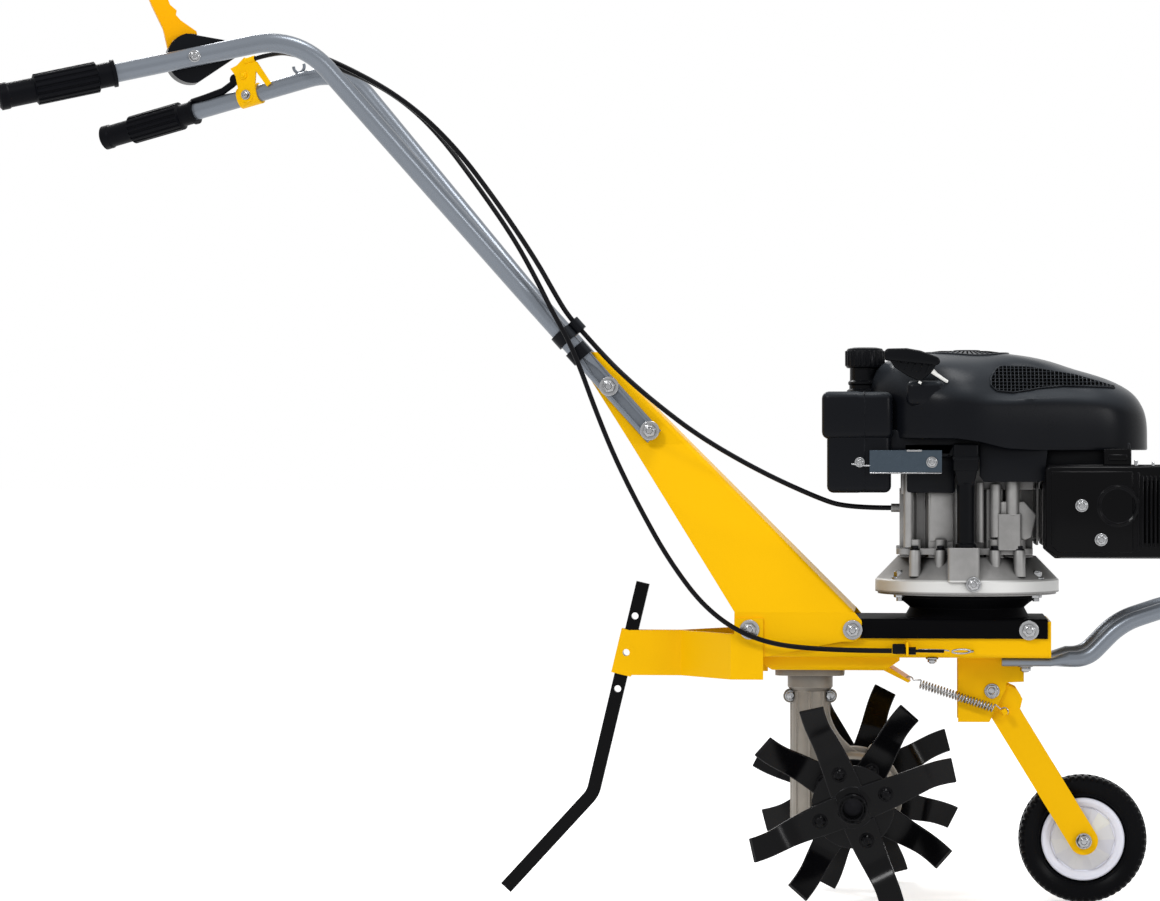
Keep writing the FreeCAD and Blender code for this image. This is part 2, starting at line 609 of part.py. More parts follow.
def wheel_fork():
    """The arm: two plates joined by a web, with the tab that the spring pulls on."""
    body = new_body("wheel_fork", x="pivot_ahead", z="pivot_height", turn="arm_tilt")
    half = "(arm_width / 2)"
    hump = half + " + arm_hump"
    outline(new_sketch(body, "XZ"), [
        ("0", "0 - " + half), ("arm_length", "0 - " + half, half),
        ("arm_length + " + half, "0", half), ("arm_length", half),
        ("4 * arm_hump", half), ("3 * arm_hump", hump), ("1.5 * arm_hump", hump),
        ("0", half, half), ("0 - " + half, "0", half)])
    pad(body, body.Group[-1], "2 * arm_half", middle=True)
    outline(new_sketch(body, "XZ"), [
        ("0 - 2 * " + half, "0 - 2 * " + half), ("arm_length + 2 * " + half, "0 - 2 * " + half),
        ("arm_length + 2 * " + half, "2 * " + half), ("arm_web_to", "2 * " + half),
        ("arm_web_to", "arm_wall - " + half), ("arm_web_from", "arm_wall - " + half),
        ("arm_web_from", "2 * " + half), ("0 - 2 * " + half, "2 * " + half)])
    pocket(body, body.Group[-1], "2 * arm_inner")
    rectangle(new_sketch(body, "XZ", "arm_inner"), "tab_reach - tab_size", "0 - tab_size / 2",
              "tab_reach + 1", "tab_size / 2")
    pad(body, body.Group[-1], "arm_wall + tab_out")
    circle(new_sketch(body, "XZ"), "0", "0", "pivot_radius + running_gap")
    pocket(body, body.Group[-1])
    circle(new_sketch(body, "XZ"), "arm_length", "0", "axle_radius")
    pocket(body, body.Group[-1])


def wheel_bracket():
    """Folded bracket under the tray: the arm swings between its two cheeks."""
    body = new_body("wheel_bracket")
    outline(new_sketch(body, "XZ"), [
        ("bracket_rear", "tray_bottom"), ("bracket_rear", "bracket_foot"),
        ("pivot_ahead - 3", "bracket_foot"), ("pivot_ahead + 16", "pivot_height + 2"),
        ("pivot_ahead + 17", "pivot_height + 10"), ("bracket_front", "pivot_height + 11"),
        ("bracket_front", "tray_bottom")])
    pad(body, body.Group[-1], "2 * bracket_half", middle=True)
    rectangle(new_sketch(body, "XZ"), "bracket_rear - 10", "bracket_foot - 10", "bracket_front + 10",
              "tray_bottom - bracket_wall")
    pocket(body, body.Group[-1], "2 * bracket_inner")
    circle(new_sketch(body, "XZ"), "pivot_ahead", "pivot_height", "pivot_radius")
    pocket(body, body.Group[-1])


def wheel_spring():
    """Envelope of the extension spring from the cover's tongue to the arm's tab."""
    side = -val("arm_half + tab_out - spring_radius")
    tilt = math.radians(val("arm_tilt"))
    reach = val("tab_reach - tab_size / 2")
    end = FreeCAD.Vector(val("pivot_ahead") + reach * math.cos(tilt), side,
                         val("pivot_height") - reach * math.sin(tilt))
    start = vec("cover_front + tongue_reach - 22", "0", "tongue_low + 3")
    start.y = side
    along = (end - start).normalize()
    hook = val("spring_hook")
    shaped("wheel_spring", Part.makeCylinder(
        val("spring_radius"), (end - start).Length - 2 * hook, start + along * hook, along))


# ---------------------------------------------------------------- bumper, column and handlebars

# ahead of the tray's front and above its bottom, for the corners of one leg of the bumper
BUMPER_POINTS = ((43, -1.7), (83.5, 40.1), (131, 56), (224, 82))
BUMPER_RADII = (34, 90, 120, 45)


def front_bumper():
    """Bent tube with flattened ends under the front of the tray: bumper and carrying handle."""
    radius = val("bumper_radius")
    flat = val("bumper_flat / 2")
    front = val("tray_front")
    across = FreeCAD.Vector(0, 1, 0)
    up = FreeCAD.Vector(0, 0, 1)
    shapes = []
    paths = []
    for side in (-1, 1):
        middle = side * val("bumper_side")
        start = FreeCAD.Vector(front - val("bumper_flat_length"), middle, val("tray_bottom") - flat)
        tray_end = FreeCAD.Vector(front, middle, start.z)
        leg = [FreeCAD.Vector(front + x, middle, val("tray_bottom") + z) for x, z in BUMPER_POINTS]
        neck_end = FreeCAD.Vector(front + val("bumper_neck"), middle, leg[0].z)
        pressed = obround(start, across, up, 1.5 * radius, flat)
        shapes.append(Part.Face(pressed).extrude(tray_end - start))
        shapes.append(Part.makeLoft([obround(tray_end, across, up, 1.5 * radius, flat),
                                     ring(neck_end, FreeCAD.Vector(1, 0, 0), radius)], True, True))
        paths.append([neck_end] + leg)
    points = paths[0] + paths[1][::-1]
    radii = list(BUMPER_RADII) + list(BUMPER_RADII[::-1])
    shape = tube_solid(points, radii, radius).fuse(shapes).removeSplitter()
    shaped("front_bumper", shape)


def handle_column():
    """Tapered channel of folded sheet, open at the back, on two feet outside the deck."""
    body = new_body("handle_column")
    knee = "((column_knee - column_base) / (column_top - column_base))"
    levels = (
        ("column_base", "foot_rear", "column_foot_x", "foot_half"),
        ("column_knee", "foot_rear + %s * (column_top_rear - foot_rear)" % knee,
         "column_foot_x + %s * (column_top_front - column_foot_x)" % knee, "column_half"),
        ("column_top", "column_top_rear", "column_top_front", "column_half"))
    sections = []
    bend = "column_round"
    inside = "(column_round - sheet_wall)"
    for height, rear, front, half in levels:
        sketch = new_sketch(body, "XY", height)
        inner = "(%s - sheet_wall)" % half
        web = "(%s - 1.4 * sheet_wall)" % front
        outline(sketch, [
            (rear, "0 - " + half), (front + " - " + bend, "0 - " + half, bend),
            (front, bend + " - " + half), (front, half + " - " + bend, bend),
            (front + " - " + bend, half), (rear, half), (rear, inner),
            (web + " - " + inside, inner, "0 - " + inside), (web, inner + " - " + inside),
            (web, inside + " - " + inner, "0 - " + inside), (web + " - " + inside, "0 - " + inner),
            (rear, "0 - " + inner)])
        sections.append(sketch)
    for lower, upper in zip(sections, sections[1:]):
        loft(body, [lower, upper])
    foot = new_sketch(body, "XZ")
    outline(foot, [
        ("foot_rear", "foot_low"), ("foot_rear + 35", "foot_low"), ("foot_front - 24", "tray_bottom + 19"),
        ("foot_front - 12", "tray_bottom + 19", "12"), ("foot_front", "tray_bottom + 31"),
        ("foot_front", "column_base - 10"), ("column_foot_x", "column_base"), ("foot_rear", "column_base")])
    pad(body, foot, "2 * foot_half", middle=True)
    rectangle(new_sketch(body, "XZ"), "foot_rear - 5", "foot_low - 5", "foot_front + 5", "column_base")
    pocket(body, body.Group[-1], "2 * (foot_half - sheet_wall)")


BAR_POINTS = ((-237, 46, 554), (-391.6, 46, 725.6), (-642, 195, 1019), (-967.5, 293, 941.5))


def bar_points(side):
    """Centre line of one handlebar: foot, splay, corner and end."""
    return [FreeCAD.Vector(x, side * y, z) for x, y, z in BAR_POINTS]


def handlebar(label, side):
    """Tube with its lower end pressed flat against the column, grooved on the outside."""
    foot, splay, corner, end = bar_points(side)
    radius = val("bar_radius")
    flat = val("pressed_flat / 2")
    up = (splay - foot).normalize()
    pressed_end = foot + up * val("pressed_length")
    round_start = pressed_end + up * val("pressed_neck")
    across = FreeCAD.Vector(0, 1, 0)
    wide = up.cross(across)
    pressed = Part.Face(obround(foot, wide, across, radius, flat)).extrude(pressed_end - foot)
    neck = Part.makeLoft([obround(pressed_end, wide, across, radius, flat),
                          ring(round_start, up, radius)], True, True)
    bend = val("bar_bend")
    upper = tube_solid([round_start, splay, corner, end], [bend, bend], radius)
    half = val("groove_half")
    start = val("groove_start")
    arch = val("groove_arch")
    tip = val("groove_length")
    plan = [(start, -half), (arch, -half), (tip, 0), (arch, half), (start, half)]
    level = across * (side * (flat - val("groove_depth")))
    corners = [foot + up * along + wide * sideways + level for along, sideways in plan]
    groove = Part.Face(Part.makePolygon(corners + corners[:1])).extrude(across * (side * 2 * radius))
    shaped(label, pressed.fuse([neck, upper]).removeSplitter().cut(groove))


def along_bar(side, distance):
    """Place on the upper run of a handlebar: X runs forwards along it, Y left and Z up."""
    foot, splay, corner, end = bar_points(side)
    direction = (end - corner).normalize()
    spot = corner + direction * distance
    turn = FreeCAD.Rotation(direction * -1, FreeCAD.Vector(), FreeCAD.Vector(0, 0, 1), "XZY")
    return FreeCAD.Placement(spot, turn)


LAID = []


def laid_body(label, placement):
    """A PartDesign body whose place is worked out along a handlebar."""
    body = doc.addObject("PartDesign::Body", label)
    LAID.append((body, placement))
    NODES.append(body)
    return body


def grip(label, side):
    """Fluted rubber grip with an end knob and a flange, closed over the tube's end."""
    foot, splay, corner, end = bar_points(side)
    body = laid_body(label, along_bar(side, (end - corner).Length))
    outline(new_sketch(body, "XZ"), [
        ("-0.1", "0"), ("-0.1", "bar_radius + 0.1"), ("grip_length", "bar_radius + 0.1"),
        ("grip_length", "grip_flange"), ("grip_length - 4", "grip_flange"),
        ("grip_length - 4", "grip_neck"), ("grip_length - 20", "grip_neck"),
        ("grip_length - 22", "grip_body"), ("grip_start", "grip_body"), ("grip_start - 2", "grip_neck"),
        ("9", "grip_neck"), ("7", "grip_knob"), ("-2", "grip_knob"), ("-4", "grip_knob - 3"), ("-4", "0")])
    revolve(body, body.Group[-1])
    circle(new_sketch(body, "YZ", "grip_start"), "0", "grip_body", "flute_radius")
    flute = pocket(body, body.Group[-1], "grip_length - grip_start - 22", middle=False, backwards=True)
    pattern(body, [flute], "X", "flutes")


# ---------------------------------------------------------------- controls on the handlebars

def throttle_housing():
    """Teardrop case on the inner side of the right handlebar, with the cable's gland."""
    body = laid_body("throttle_housing", along_bar(-1, val("throttle_along")))
    radius = "housing_radius"
    outline(new_sketch(body, "XZ", "0 - bar_radius - housing_depth"), [
        ("0", radius, radius), ("0 - " + radius, "0", radius), ("0", "0 - " + radius),
        ("housing_tail", "-8"), ("housing_tail", "8")])
    pad(body, body.Group[-1], "housing_depth")
    circle(new_sketch(body, "YZ", "housing_tail"), "bar_radius + housing_depth / 2", "0", "gland_radius")
    pad(body, body.Group[-1], "gland_length")


def throttle_lever():
    """Paddle of the throttle, standing up and back out of its case."""
    body = laid_body("throttle_lever", along_bar(-1, val("throttle_along")))
    around = "(housing_radius + 0.1)"
    outline(new_sketch(body, "XZ", "0 - bar_radius - housing_depth / 2 - lever_wall / 2"), [
        ("-24", "sqrt(%s^2 - 24^2)" % around, "0 - " + around), ("13", "sqrt(%s^2 - 13^2)" % around),
        ("13", "30"), ("-2", "46"), ("-6", "53"), ("-4", "58"), ("-10", "66"), ("-12", "78", "14"),
        ("-33", "82"), ("-31", "70"), ("-24", "40")])
    pad(body, body.Group[-1], "lever_wall")


def clutch_bracket():
    """Clamp, pressed plate and cable end of the clutch lever on the left handlebar."""
    body = laid_body("clutch_bracket", along_bar(1, val("clutch_along")))
    circle(circle(new_sketch(body, "YZ", "0 - clamp_width / 2"), "0", "0", "bar_radius + clamp_wall"),
           "0", "0", "bar_radius + 0.1")
    pad(body, body.Group[-1], "clamp_width")
    outline(new_sketch(body, "XZ", "bar_radius"), [
        ("-9.5", "-2", "9.8"), ("9.5", "-2"), ("14", "6"), ("20", "26"), ("31", "3"), ("37", "6"),
        ("24", "37"), ("8", "47"), ("-4", "40"), ("-14", "38"), ("-9", "27")])
    pad(body, body.Group[-1], "clamp_wall")
    circle(new_sketch(body, "YZ", "8"), "0 - bar_radius - clamp_wall / 2", "42", "ferrule_radius")
    pad(body, body.Group[-1], "ferrule_length")


def clutch_lever():
    """Black lever that runs outside the left grip."""
    spot = along_bar(1, val("clutch_along"))
    points = [spot.multVec(FreeCAD.Vector(x, y, z)) for x, y, z in
              ((10, -6.4, 20), (-20, 0, 19), (-45, 14, 10), (-70, 21, 4), (-190, 26, 0))]
    shaped("clutch_lever", tube_solid(points, [30, 40, 60], val("lever_radius")))


def cable_clips():
    """Two bands round the right handlebar; the upper one has a ring for the throttle cable."""
    foot, splay, corner, end = bar_points(-1)
    up = (splay - foot).normalize()
    across = FreeCAD.Vector(0, 1, 0)
    wide = up.cross(across)
    radius = val("bar_radius + 0.3")
    wall = val("clamp_wall")
    width = val("clip_width")
    run = up * width
    lower = foot + up * (val("clip_along") - width / 2)
    flat = val("pressed_flat / 2 + 0.1")
    band = Part.Face(obround(lower, wide, across, radius + wall, flat + wall)).extrude(run)
    band = band.cut(Part.Face(obround(lower, wide, across, radius, flat)).extrude(run))
    column = block(FreeCAD.Vector(-500, -val("column_half + 0.1"), 0), FreeCAD.Vector(0, 0, 1000))
    upper = foot + up * (val("clip_along + clip_apart") - width / 2)
    ear = upper - wide * val("clip_ear_out")
    loop = Part.makeCylinder(radius + wall, width, upper, up)
    loop = loop.fuse(Part.makeCylinder(val("clip_ear"), width, ear, up))
    loop = loop.cut([Part.makeCylinder(radius, width, upper, up),
                     Part.makeCylinder(val("clip_ear - clamp_wall"), width, ear, up)])
    shaped("cable_clips", Part.makeCompound([band.cut(column), loop]))


THROTTLE_ROUTE = ((-602, -158, 992), (-528, -136, 952), (-469, -120, 898), (-418, -101, 829),
                  (-376, -74, 764), (-355, -52, 724), (-340, -46, 698.5), (-318, -46, 674),
                  (-299, -50, 653), (-273, -60, 627), (-232, -70, 592), (-180, -78, 553), (-112, -82, 514),
                  (-45, -80, 483), (-8, -57, 470))
CLUTCH_ROUTE = ((-697, 145, 1032), (-640, 88, 1010), (-590, 46, 989), (-541, 10, 958), (-498, -12, 917),
                (-453, -30, 859), (-406, -46, 793), (-377, -57, 742), (-356, -66, 701), (-337, -71, 668),
                (-322, -76, 633), (-305, -84, 588), (-282, -91, 532), (-253, -98, 474), (-216, -102, 408),
                (-170, -105, 348), (-112, -102, 313), (-33, -92, 303))


def cord(label, points):
    """A cable's tube: each arc is as large as its two runs allow."""
    radii = []
    for before, corner, after in zip(points, points[1:], points[2:]):
        turn = (corner - before).getAngle(after - corner)
        shorter = min((corner - before).Length, (after - corner).Length)
        radii.append(0.45 * shorter / math.tan(turn / 2))
    radius = val("cable_radius")
    solid = tube_solid(points, radii, radius)
    expected = rounded_path(points, radii).Length * math.pi * radius * radius
    print(label, "least radius", round(min(radii)), "volume ratio", round(solid.Volume / expected, 4))
    shaped(label, solid)


def throttle_cable():
    """From the throttle's gland through the clip's ring to the back of the engine."""
    spot = along_bar(-1, val("throttle_along"))
    depth = val("bar_radius + housing_depth / 2")
    gland = spot.multVec(FreeCAD.Vector(val("housing_tail + gland_length"), depth, 0))
    onward = spot.Rotation.multVec(FreeCAD.Vector(1, 0, 0))
    end = vec("engine_ahead - case_back - 10", "-stop_side", "stop_height")
    cord("throttle_cable", [gland, gland + onward * 45]
         + [FreeCAD.Vector(*point) for point in THROTTLE_ROUTE] + [end])


def clutch_cable():
    """From the clutch bracket behind the column to the ferrule on the tray's right side."""
    spot = along_bar(1, val("clutch_along"))
    start = spot.multVec(vec("8 + ferrule_length", "0 - bar_radius - clamp_wall / 2", "42"))
    onward = spot.Rotation.multVec(FreeCAD.Vector(1, 0, 0))
    end = vec("adjuster_rear", "-adjuster_side", "adjuster_height")
    cord("clutch_cable", [start, start + onward * 30]
         + [FreeCAD.Vector(*point) for point in CLUTCH_ROUTE] + [end])


def cable_adjuster():
    """Threaded ferrule of the clutch cable in a tab on the tray's side."""
    body = new_body("cable_adjuster")
    circle(new_sketch(body, "YZ", "adjuster_rear"), "-adjuster_side", "adjuster_height", "5")
    pad(body, body.Group[-1], "adjuster_length")
    rectangle(new_sketch(body, "YZ", "adjuster_rear + 11"), "-adjuster_side - 8", "adjuster_height - 7",
              "-tray_half", "adjuster_height + 7")
    pad(body, body.Group[-1], "sheet_wall")


def clutch_rod():
    """Rod from the ferrule that turns into the tray's side."""
    start = vec("adjuster_rear + adjuster_length", "-adjuster_side", "adjuster_height")
    corner = start + vec("rod_length", "0", "0")
    end = FreeCAD.Vector(corner.x, -val("tray_half"), corner.z)
    shaped("clutch_rod", tube_solid([start, corner, end], [5], val("rod_radius")))


# ---------------------------------------------------------------- depth bar at the back

STAKE_POINTS = ((-253, 379), (-313.4, 125.6), (-418.5, 11))


def stake_pin():
    """Where the pin crosses the bar: level with the middle of the yoke."""
    (x0, z0), (x1, z1), _ = STAKE_POINTS
    height = val("yoke_low + yoke_height / 2")
    return FreeCAD.Vector(x0 + (x1 - x0) * (z0 - height) / (z0 - z1), 0, height)


def drag_bar():
    """Flat bar with holes on a pitch, bent back at its lower end where it drags in the soil."""
    points = [FreeCAD.Vector(x, 0, z) for x, z in STAKE_POINTS]
    path = rounded_path(points, [val("stake_bend")])
    down = (points[1] - points[0]).normalize()
    side = FreeCAD.Vector(0, 1, 0)
    wide = down.cross(side)
    half = val("stake_width / 2")
    deep = val("stake_wall / 2")
    corners = [points[0] + wide * a * half + side * b * deep for a, b in ((-1, -1), (1, -1), (1, 1), (-1, 1))]
    bar = swept(path, Part.makePolygon(corners + corners[:1]))
    pin = stake_pin()
    for step in (-1, 0, 1):
        centre = pin - down * step * val("stake_pitch")
        bar = bar.cut(Part.makeCylinder(val("stake_hole"), 40, centre - side * 20, side))
    shaped("drag_bar", bar)


def drag_bar_bracket():
    """Raked sleeve for the bar on two plates that spread to the chassis sides."""
    (x0, z0), (x1, z1), _ = STAKE_POINTS
    pin = stake_pin()
    wall = val("yoke_wall")
    half_x = val("stake_width / 2 + stake_clearance")
    half_y = val("stake_wall / 2 + stake_clearance")
    high = val("yoke_height")
    low = val("yoke_low")
    rake = math.degrees(math.atan2(x0 - x1, z0 - z1))
    turn = FreeCAD.Placement(pin, FreeCAD.Rotation(FreeCAD.Vector(0, 1, 0), rake))
    sleeve_corner = FreeCAD.Vector(half_x + wall, half_y + wall, high / 2)
    sleeve = block(sleeve_corner * -1, sleeve_corner)
    sleeve.Placement = turn
    window_corner = FreeCAD.Vector(half_x, half_y, high)
    window = block(window_corner * -1, window_corner)
    window.Placement = turn
    outer = val("yoke_half")
    ear_rear = val("foot_rear")
    ear_front = ear_rear + val("yoke_ear")
    plates = []
    for side in (-1, 1):
        plan = [(pin.x + half_x - 4, half_y), (-205, half_y), (ear_rear - 2, outer - wall),
                (ear_front, outer - wall), (ear_front, outer), (ear_rear - 4, outer),
                (-207, half_y + wall), (pin.x + half_x - 4, half_y + wall)]
        corners = [FreeCAD.Vector(x, side * y, low) for x, y in plan]
        plate = Part.Face(Part.makePolygon(corners + corners[:1]))
        plates.append(plate.extrude(FreeCAD.Vector(0, 0, high)))
        middle = side * (outer - wall / 2)
        ear_low = val("tray_bottom + 6")
        plates.append(block(FreeCAD.Vector(ear_rear, middle - wall / 2, ear_low),
                            FreeCAD.Vector(ear_front, middle + wall / 2, ear_low + val("yoke_ear_height"))))
    hole = Part.makeCylinder(val("stake_hole"), 60, pin - FreeCAD.Vector(0, 30, 0), FreeCAD.Vector(0, 1, 0))
    shaped("drag_bar_bracket", sleeve.fuse(plates).cut([window, hole]).removeSplitter())


# ---------------------------------------------------------------- engine

def engine_crankcase():
    """Cast crankcase: mounting flange, cone, bolted halves and the block under the blower."""
    body = new_body("engine_crankcase", x="engine_ahead")
    outline(new_sketch(body, "XZ"), [
        ("0", "pedestal_top"), ("mount_flange - 3", "pedestal_top"), ("mount_flange - 3", "flange_low"),
        ("mount_flange", "flange_low"), ("mount_flange", "flange_high"), ("skirt_radius", "skirt_top"),
        ("0", "skirt_top")])
    revolve(body, body.Group[-1], "V_Axis")
    outline(new_sketch(body, "XY", "skirt_top"), [
        ("-case_back", "-40"), ("-case_back", "13 - case_side"), ("-64", "9 - case_side"),
        ("-60", "17 - case_side"), ("-50", "17 - case_side"), ("-46", "-case_side"), ("-18", "-case_side"),
        ("-14", "5 - case_side"), ("18", "5 - case_side"), ("22", "-case_side"), ("40", "-case_side"),
        ("44", "9 - case_side"), ("62", "9 - case_side"), ("case_front", "15 - case_side"),
        ("case_front", "case_side"), ("22 - case_back", "case_side", "22"), ("-case_back", "case_side - 22")])
    pad(body, body.Group[-1], "case_top - skirt_top")
    rectangle(new_sketch(body, "XY", "joint_height - joint_wall / 2"), "0 - case_back - joint_lip",
              "0 - case_side - joint_lip", "case_front", "case_side + joint_lip", "3 * joint_lip")
    pad(body, body.Group[-1], "joint_wall")
    bosses = new_sketch(body, "XY", "joint_height - 2 * boss_size")
    for along in ("-62", "-32", "31", "60"):
        for side in ("-case_side", "case_side"):
            circle(bosses, along, side, "boss_size")
    pad(body, bosses, "4 * boss_size")
    rectangle(new_sketch(body, "XY", "case_top"), "30 - case_back", "5 - case_side", "case_front",
              "case_side - 5")
    pad(body, body.Group[-1], "shroud_low - case_top")
    rectangle(new_sketch(body, "XY", "flange_high"), "-24", "0 - filler_side - 14", "13",
              "0 - case_side", "5")
    pad(body, body.Group[-1], "filler_seat")
    rectangle(new_sketch(body, "XY", "joint_height + 2"), "34", "0 - case_side - 9", "62", "-50", "3")
    pad(body, body.Group[-1], "42")
    circle(new_sketch(body, "YZ", "0 - case_back - 10"), "-stop_side", "stop_height", "5")
    pad(body, body.Group[-1], "12")


def engine_cylinder():
    """Finned cylinder lying forwards, with its head and rocker cover."""
    body = new_body("engine_cylinder", x="engine_ahead + case_front")
    length = "(head_front - engine_ahead - case_front)"
    rectangle(new_sketch(body, "YZ"), "12 - head_half", "head_low + 8", "head_half - 12", "head_high - 8")
    pad(body, body.Group[-1], length)
    rectangle(new_sketch(body, "YZ", "fin_pitch - fin_wall"), "-head_half", "head_low", "head_half",
              "head_high", "8")
    fin = pad(body, body.Group[-1], "fin_wall")
    row(body, [fin], "X", "(fins - 1) * fin_pitch", "fins")
    rectangle(new_sketch(body, "YZ", length), "14 - head_half", "head_low + 6", "head_half - 14",
              "head_high - 6", "10")
    pad(body, body.Group[-1], "head_cover")


# height, rear, front, half width at the back, half width at the nose, and how far the nose bulges
SHROUD_LEVELS = ((0, 12, 348, 124, 74, 36), (39, 10, 346, 124, 74, 36), (61, 10, 336, 121, 72, 34),
                 (75, 11, 320, 113, 66, 32), (89, 16, 293, 102, 60, 30), (102, 26, 252, 86, 52, 26),
                 (111, 60, 210, 58, 40, 20), (118, 98, 160, 26, 20, 8))


def blower_housing():
    """Moulded dome over the flywheel that narrows over the cylinder."""
    body = new_body("blower_housing")
    sections = []
    for height, rear, front, half, tip, nose in SHROUD_LEVELS:
        sketch = new_sketch(body, "XY", "shroud_low + %g" % height)
        start = rear + half
        bow = (tip * tip + nose * nose) / (2 * nose)
        outline(sketch, [
            (str(start), str(-half)), (str(front - nose), str(-tip), "%.3f" % bow),
            (str(front - nose), str(tip)), (str(start), str(half), "%.3f" % (1.02 * half))])
        sections.append(sketch)
    loft(body, sections)
    circle(new_sketch(body, "XY", "tank_top"), "cap_ahead", "-cap_side", "cap_radius + 2")
    pocket(body, body.Group[-1], "200", middle=False, backwards=True)
    rectangle(new_sketch(body, "XZ", "80"), "60", "tank_top - 8", "112", "pull_low", "4")
    pad(body, body.Group[-1], "pull_side + 8 - 80")


def fuel_tank():
    """Blow-moulded tank behind the blower housing, stepped in under its shoulder."""
    body = new_body("fuel_tank")
    rectangle(new_sketch(body, "XY", "shroud_low"), "tank_rear", "-tank_half", "tank_seam", "tank_half", "10")
    pad(body, body.Group[-1], "tank_top - shroud_low")
    top = val("tank_top")
    fillet(body, "8", lambda edge: edge.BoundBox.ZMin > top - 0.1)
    rectangle(new_sketch(body, "XY", "tank_low"), "tank_rear + tank_step", "tank_step - tank_half",
              "tank_front", "tank_half - tank_step", "10")
    pad(body, body.Group[-1], "shroud_low - tank_low")


def fuel_cap():
    """Filler neck and its cap."""
    body = new_body("fuel_cap", x="cap_ahead", y="-cap_side")
    outline(new_sketch(body, "XZ"), [
        ("0", "tank_top"), ("neck_radius", "tank_top"), ("neck_radius", "tank_top + 29"),
        ("cap_radius", "tank_top + 29"), ("cap_radius", "tank_top + 29 + cap_height - 4"),
        ("cap_radius - 4", "tank_top + 29 + cap_height"), ("0", "tank_top + 29 + cap_height")])
    revolve(body, body.Group[-1], "V_Axis")


def recoil_handle():
    """Starter grip standing on the rope's guide at the right of the blower housing."""
    body = new_body("recoil_handle")
    outline(new_sketch(body, "XZ", "pull_side - pull_wall / 2"), [
        ("58", "pull_low"), ("91", "pull_low"), ("101", "pull_low + 24"), ("99", "pull_low + 38"),
        ("38", "pull_low + 38"), ("35.5", "pull_low + 24")])
    pad(body, body.Group[-1], "pull_wall")


def oil_filler():
    """Dipstick tube with its cap, standing beside the crankcase."""
    body = new_body("oil_filler", x="engine_ahead - 3", y="-filler_side")
    outline(new_sketch(body, "XZ"), [
        ("0", "flange_high + filler_seat"), ("filler_radius", "flange_high + filler_seat"),
        ("filler_radius", "filler_top"), ("filler_radius + 3", "filler_top"),
        ("filler_radius + 5", "shroud_low - 1"), ("0", "shroud_low - 1")])
    revolve(body, body.Group[-1], "V_Axis")


def muffler():
    """Sheet-metal silencer on the right of the cylinder, on a short pipe from the head."""
    body = new_body("muffler")
    outline(new_sketch(body, "XZ", "head_half + 8"), [
        ("muffler_rear", "muffler_low + 11"), ("muffler_rear + 13", "muffler_low"),
        ("muffler_front", "muffler_low"), ("muffler_front", "muffler_high"),
        ("muffler_rear", "muffler_high")])
    pad(body, body.Group[-1], "muffler_side - head_half - 8")
    side = -val("muffler_side")
    fillet(body, "6", lambda edge: edge.BoundBox.YMax < side + 0.1)
    circle(new_sketch(body, "XZ", "head_half + 0.1"), "head_front - 18", "0.5 * (head_low + head_high)", "14")
    pad(body, body.Group[-1], "9")


def air_filter():
    """Air cleaner box on the left of the cylinder."""
    body = new_body("air_filter")
    rectangle(new_sketch(body, "XZ", "-head_half - 46"), "214", "428", "300", "520", "10")
    pad(body, body.Group[-1], "44", backwards=True)


def carburettor():
    """Carburettor between the cylinder and the air cleaner."""
    body = new_body("carburettor")
    circle(new_sketch(body, "XZ", "-head_half"), "256", "470", "20")
    pad(body, body.Group[-1], "46", backwards=True)


def control_plate():
    """Strip of sheet on the right of the engine that holds the throttle's linkage."""
    body = new_body("control_plate")
    rectangle(new_sketch(body, "XZ", "tank_half + 0.1"), "19", "shroud_low - 27", "103", "shroud_low")
    pad(body, body.Group[-1], "2.5")


def spark_plug_boot():
    """Plug and its boot on the front of the rocker cover."""
    body = new_body("spark_plug_boot")
    circle(new_sketch(body, "YZ", "head_front + head_cover"), "0", "470", "9")
    pad(body, body.Group[-1], "30")


# ---------------------------------------------------------------- assembly

def set_size(alias, number):
    """Writes one cell of the sheet."""
    line = list(VALUES).index(alias) + 1
    sizes.set("B%d" % line, repr(number))
    doc.recompute()


def lowest(nodes):
    """The lowest height that any of the nodes reaches."""
    return min(node.Shape.optimalBoundingBox(False).ZMin for node in nodes)


def settle():
    """Moves every node so that the origin is under the middle of the machine."""
    for node, placement in LAID:
        node.Placement = placement
    cords = ("throttle_cable", "clutch_cable")
    boxes = [node.Shape.optimalBoundingBox(False) for node in NODES if node.Label not in cords]
    shift = -(min(box.XMin for box in boxes) + max(box.XMax for box in boxes)) / 2
    set_size("origin_shift", shift)
    for node, placement in LAID:
        node.Placement = FreeCAD.Placement(FreeCAD.Vector(shift, 0, 0), FreeCAD.Rotation()) * placement
    doc.recompute()


def save():
    """Checks every object and writes each node's STEP file."""
    for item in doc.Objects:
        if {"Invalid", "Error"} & set(item.State):
            raise RuntimeError("%s failed: %s" % (item.Label, item.State))
    os.makedirs("parts", exist_ok=True)
    for node in NODES:
        if node.Shape.isNull() or not node.Shape.isValid():
            raise RuntimeError(node.Label + " has no valid shape")
        node.Shape.exportStep(os.path.join("parts", node.Label + ".step"))
    print(len(NODES), "nodes written")


